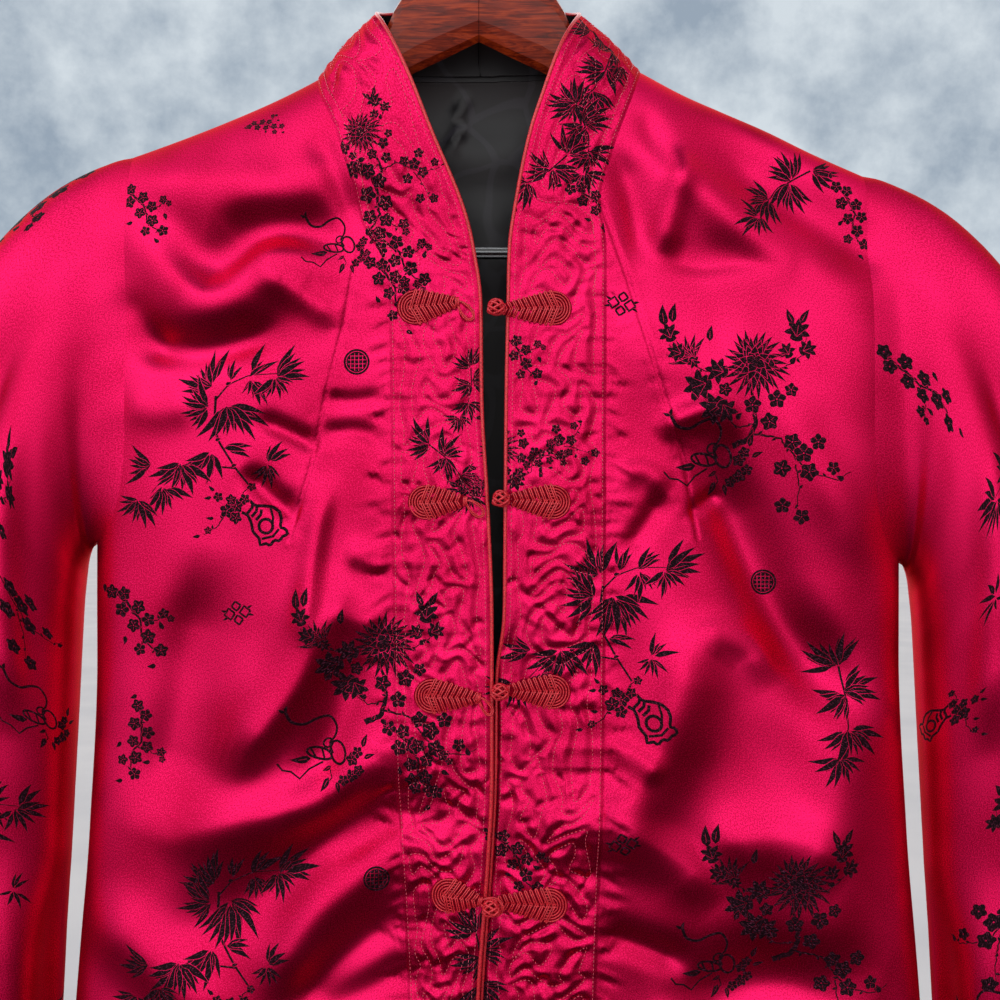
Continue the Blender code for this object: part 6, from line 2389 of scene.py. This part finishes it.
    def build(self, finishes: Finishes, cording: PathTree) -> None:
        """Make the half as one piece."""
        name, looped = self.row.name, self.row.side is Side.LEFT
        paths = [*self.coil(), *self.braid(), *(self.loop() if looped else ())]
        frog = cording.follow(name, paths, finishes.cord, Radius=self.cord_radius, Sides=6, Step=0.7)
        # the sheet under the cords is painted shade for the gaps between them
        parts = [frog, self.pad(finishes.pad)]
        if not looped:
            ball = {"Radius": self.ball_radius, "Sides": 7, "Step": 0.7}
            parts.append(cording.follow(name + "_ball", [self.knot()], finishes.cord, **ball))
            # dark core inside the ball knot: painted shade between its windings
            shade_core = {"Radius": self.row.radius - 2.2 * self.ball_radius, "Sides": 12, "Step": 1.0}
            axis = self.head + np.array(((-0.1, 0, 0), (0.1, 0, 0)))
            parts.append(cording.follow(name + "_core", [axis], finishes.pad, **shade_core))
        with bpy.context.temp_override(active_object=frog, selected_editable_objects=parts):
            bpy.ops.object.join()
        adopt(frog, CORD_SLOT, name)


class Hanger:
    """Wooden hanger with its chromed hook and covered trouser bar."""

    def build(self, frame: dict, finishes: Finishes) -> None:
        """Dress the hanger's CAD nodes in their finishes."""
        dress = {"left": finishes.wood, "right": finishes.wood, "hook": finishes.chrome, "bar": finishes.tube}
        for part, material in dress.items():
            mesh = frame["nodes"][f"hanger_{part}"].data
            mesh.materials.clear()
            mesh.materials.append(material)
            mesh.polygons.foreach_set("material_index", np.zeros(len(mesh.polygons), np.int32))
            LOG.info("hanger_%s: %s", part, material.name)


# ---------------------------------------------------------------- studio


@dataclass
class Studio:
    """Pale floor, soft sky of light, a softbox, and the camera."""

    camera_place: tuple[float, float, float] = (0.0118, -0.735, -0.361)
    lens_mm: float = 47.0
    sensor_mm: float = 36.0
    floor_z: float = -1250.0
    floor_reach: float = 30000.0
    softbox_place: tuple[float, float, float] = (-1.1, -1.2, 1.3)
    softbox_aim: tuple[float, float, float] = (0.0, 0.0, -0.35)
    softbox_size: float = 1.2
    softbox_watts: float = 1.6

    def build(self) -> None:
        """Make the camera, the floor and the lights."""
        scene, lens = bpy.context.scene, bpy.data.cameras.new("camera")
        lens.lens, lens.sensor_width = self.lens_mm, self.sensor_mm
        scene.camera = new_object("camera", lens)
        scene.camera.location, scene.camera.rotation_euler = self.camera_place, (math.pi / 2, 0.0, 0.0)
        scene.view_settings.view_transform = "Standard"
        corners = [(x * self.floor_reach, y * self.floor_reach, self.floor_z) for x, y in SQUARE]
        floor = mesh_object("floor", corners, [(0, 1, 2, 3)], [PaleFloor().build()])
        floor.visible_glossy = False
        self.world()
        self.softbox()

    def world(self) -> None:
        """Light the room by height and side: dark below, pale at eye level, bright above."""
        world = bpy.context.scene.world = bpy.data.worlds.new("room")
        world.use_nodes = True
        tree = world.node_tree
        place = add_node(tree, "ShaderNodeTexCoord").outputs["Generated"]
        parts = add_node(tree, "ShaderNodeSeparateXYZ", {0: place}).outputs
        heights = [(math.sin(math.radians(elevation)), *light) for elevation, *light in SKY_STOPS]
        lights = []
        for part, levels in ((parts[2], heights), (parts[0], SIDE_STOPS)):
            share = add_node(tree, "ShaderNodeMapRange", {"Value": part, "From Min": -1.0, "From Max": 1.0})
            stops = [((at + 1) / 2, (level, level * cool, level * cool, 1.0)) for at, level, cool in levels]
            lights.append(add_node(tree, "ShaderNodeValToRGB", {"Fac": share}, stops))
        both = add_node(tree, "ShaderNodeVectorMath", {0: lights[0], 1: lights[1]}, operation="MULTIPLY")
        soft = {"Vector": place, "Scale": 11.0, "Detail": 7.0, "Roughness": 0.6}
        soft = add_node(tree, "ShaderNodeTexNoise", soft)
        drape = add_node(tree, "ShaderNodeValToRGB", {"Fac": soft}, ((0.36, "8e9cab"), (0.62, "c6cfd6")))
        shown = {0: add_node(tree, "ShaderNodeLightPath").outputs["Is Camera Ray"], 6: both, 7: drape}
        shown = add_node(tree, "ShaderNodeMix", shown, data_type="RGBA").outputs[2]
        feed(tree, tree.nodes["Background"], {0: shown, 1: SKY_STRENGTH})

    def softbox(self) -> None:
        """Hang the square softbox and point it at the jacket."""
        data = bpy.data.lights.new("softbox_top", "AREA")
        data.shape, data.size, data.size_y = "RECTANGLE", self.softbox_size, self.softbox_size
        data.energy = self.softbox_watts
        light, place = new_object("softbox_top", data), Vector(self.softbox_place)
        light.location = place
        light.rotation_euler = (Vector(self.softbox_aim) - place).to_track_quat("-Z", "Y").to_euler()
        light.visible_camera = False


def main() -> None:
    """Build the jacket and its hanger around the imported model."""
    logging.basicConfig(level=logging.INFO, format="%(message)s")
    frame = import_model()
    Studio().build()
    finishes, forms, cording = Finishes(), Forms(), CordTree()
    Bands(forms).build(finishes, StitchTree(), cording)
    for parts in (Fronts, Back, Sleeves, CollarLining):
        parts(forms).build(finishes)
    for row in FROG_ROWS:
        Frog(row, forms).build(finishes, cording)
    Hanger().build(frame, finishes)


if __name__ == "__main__":
    main()
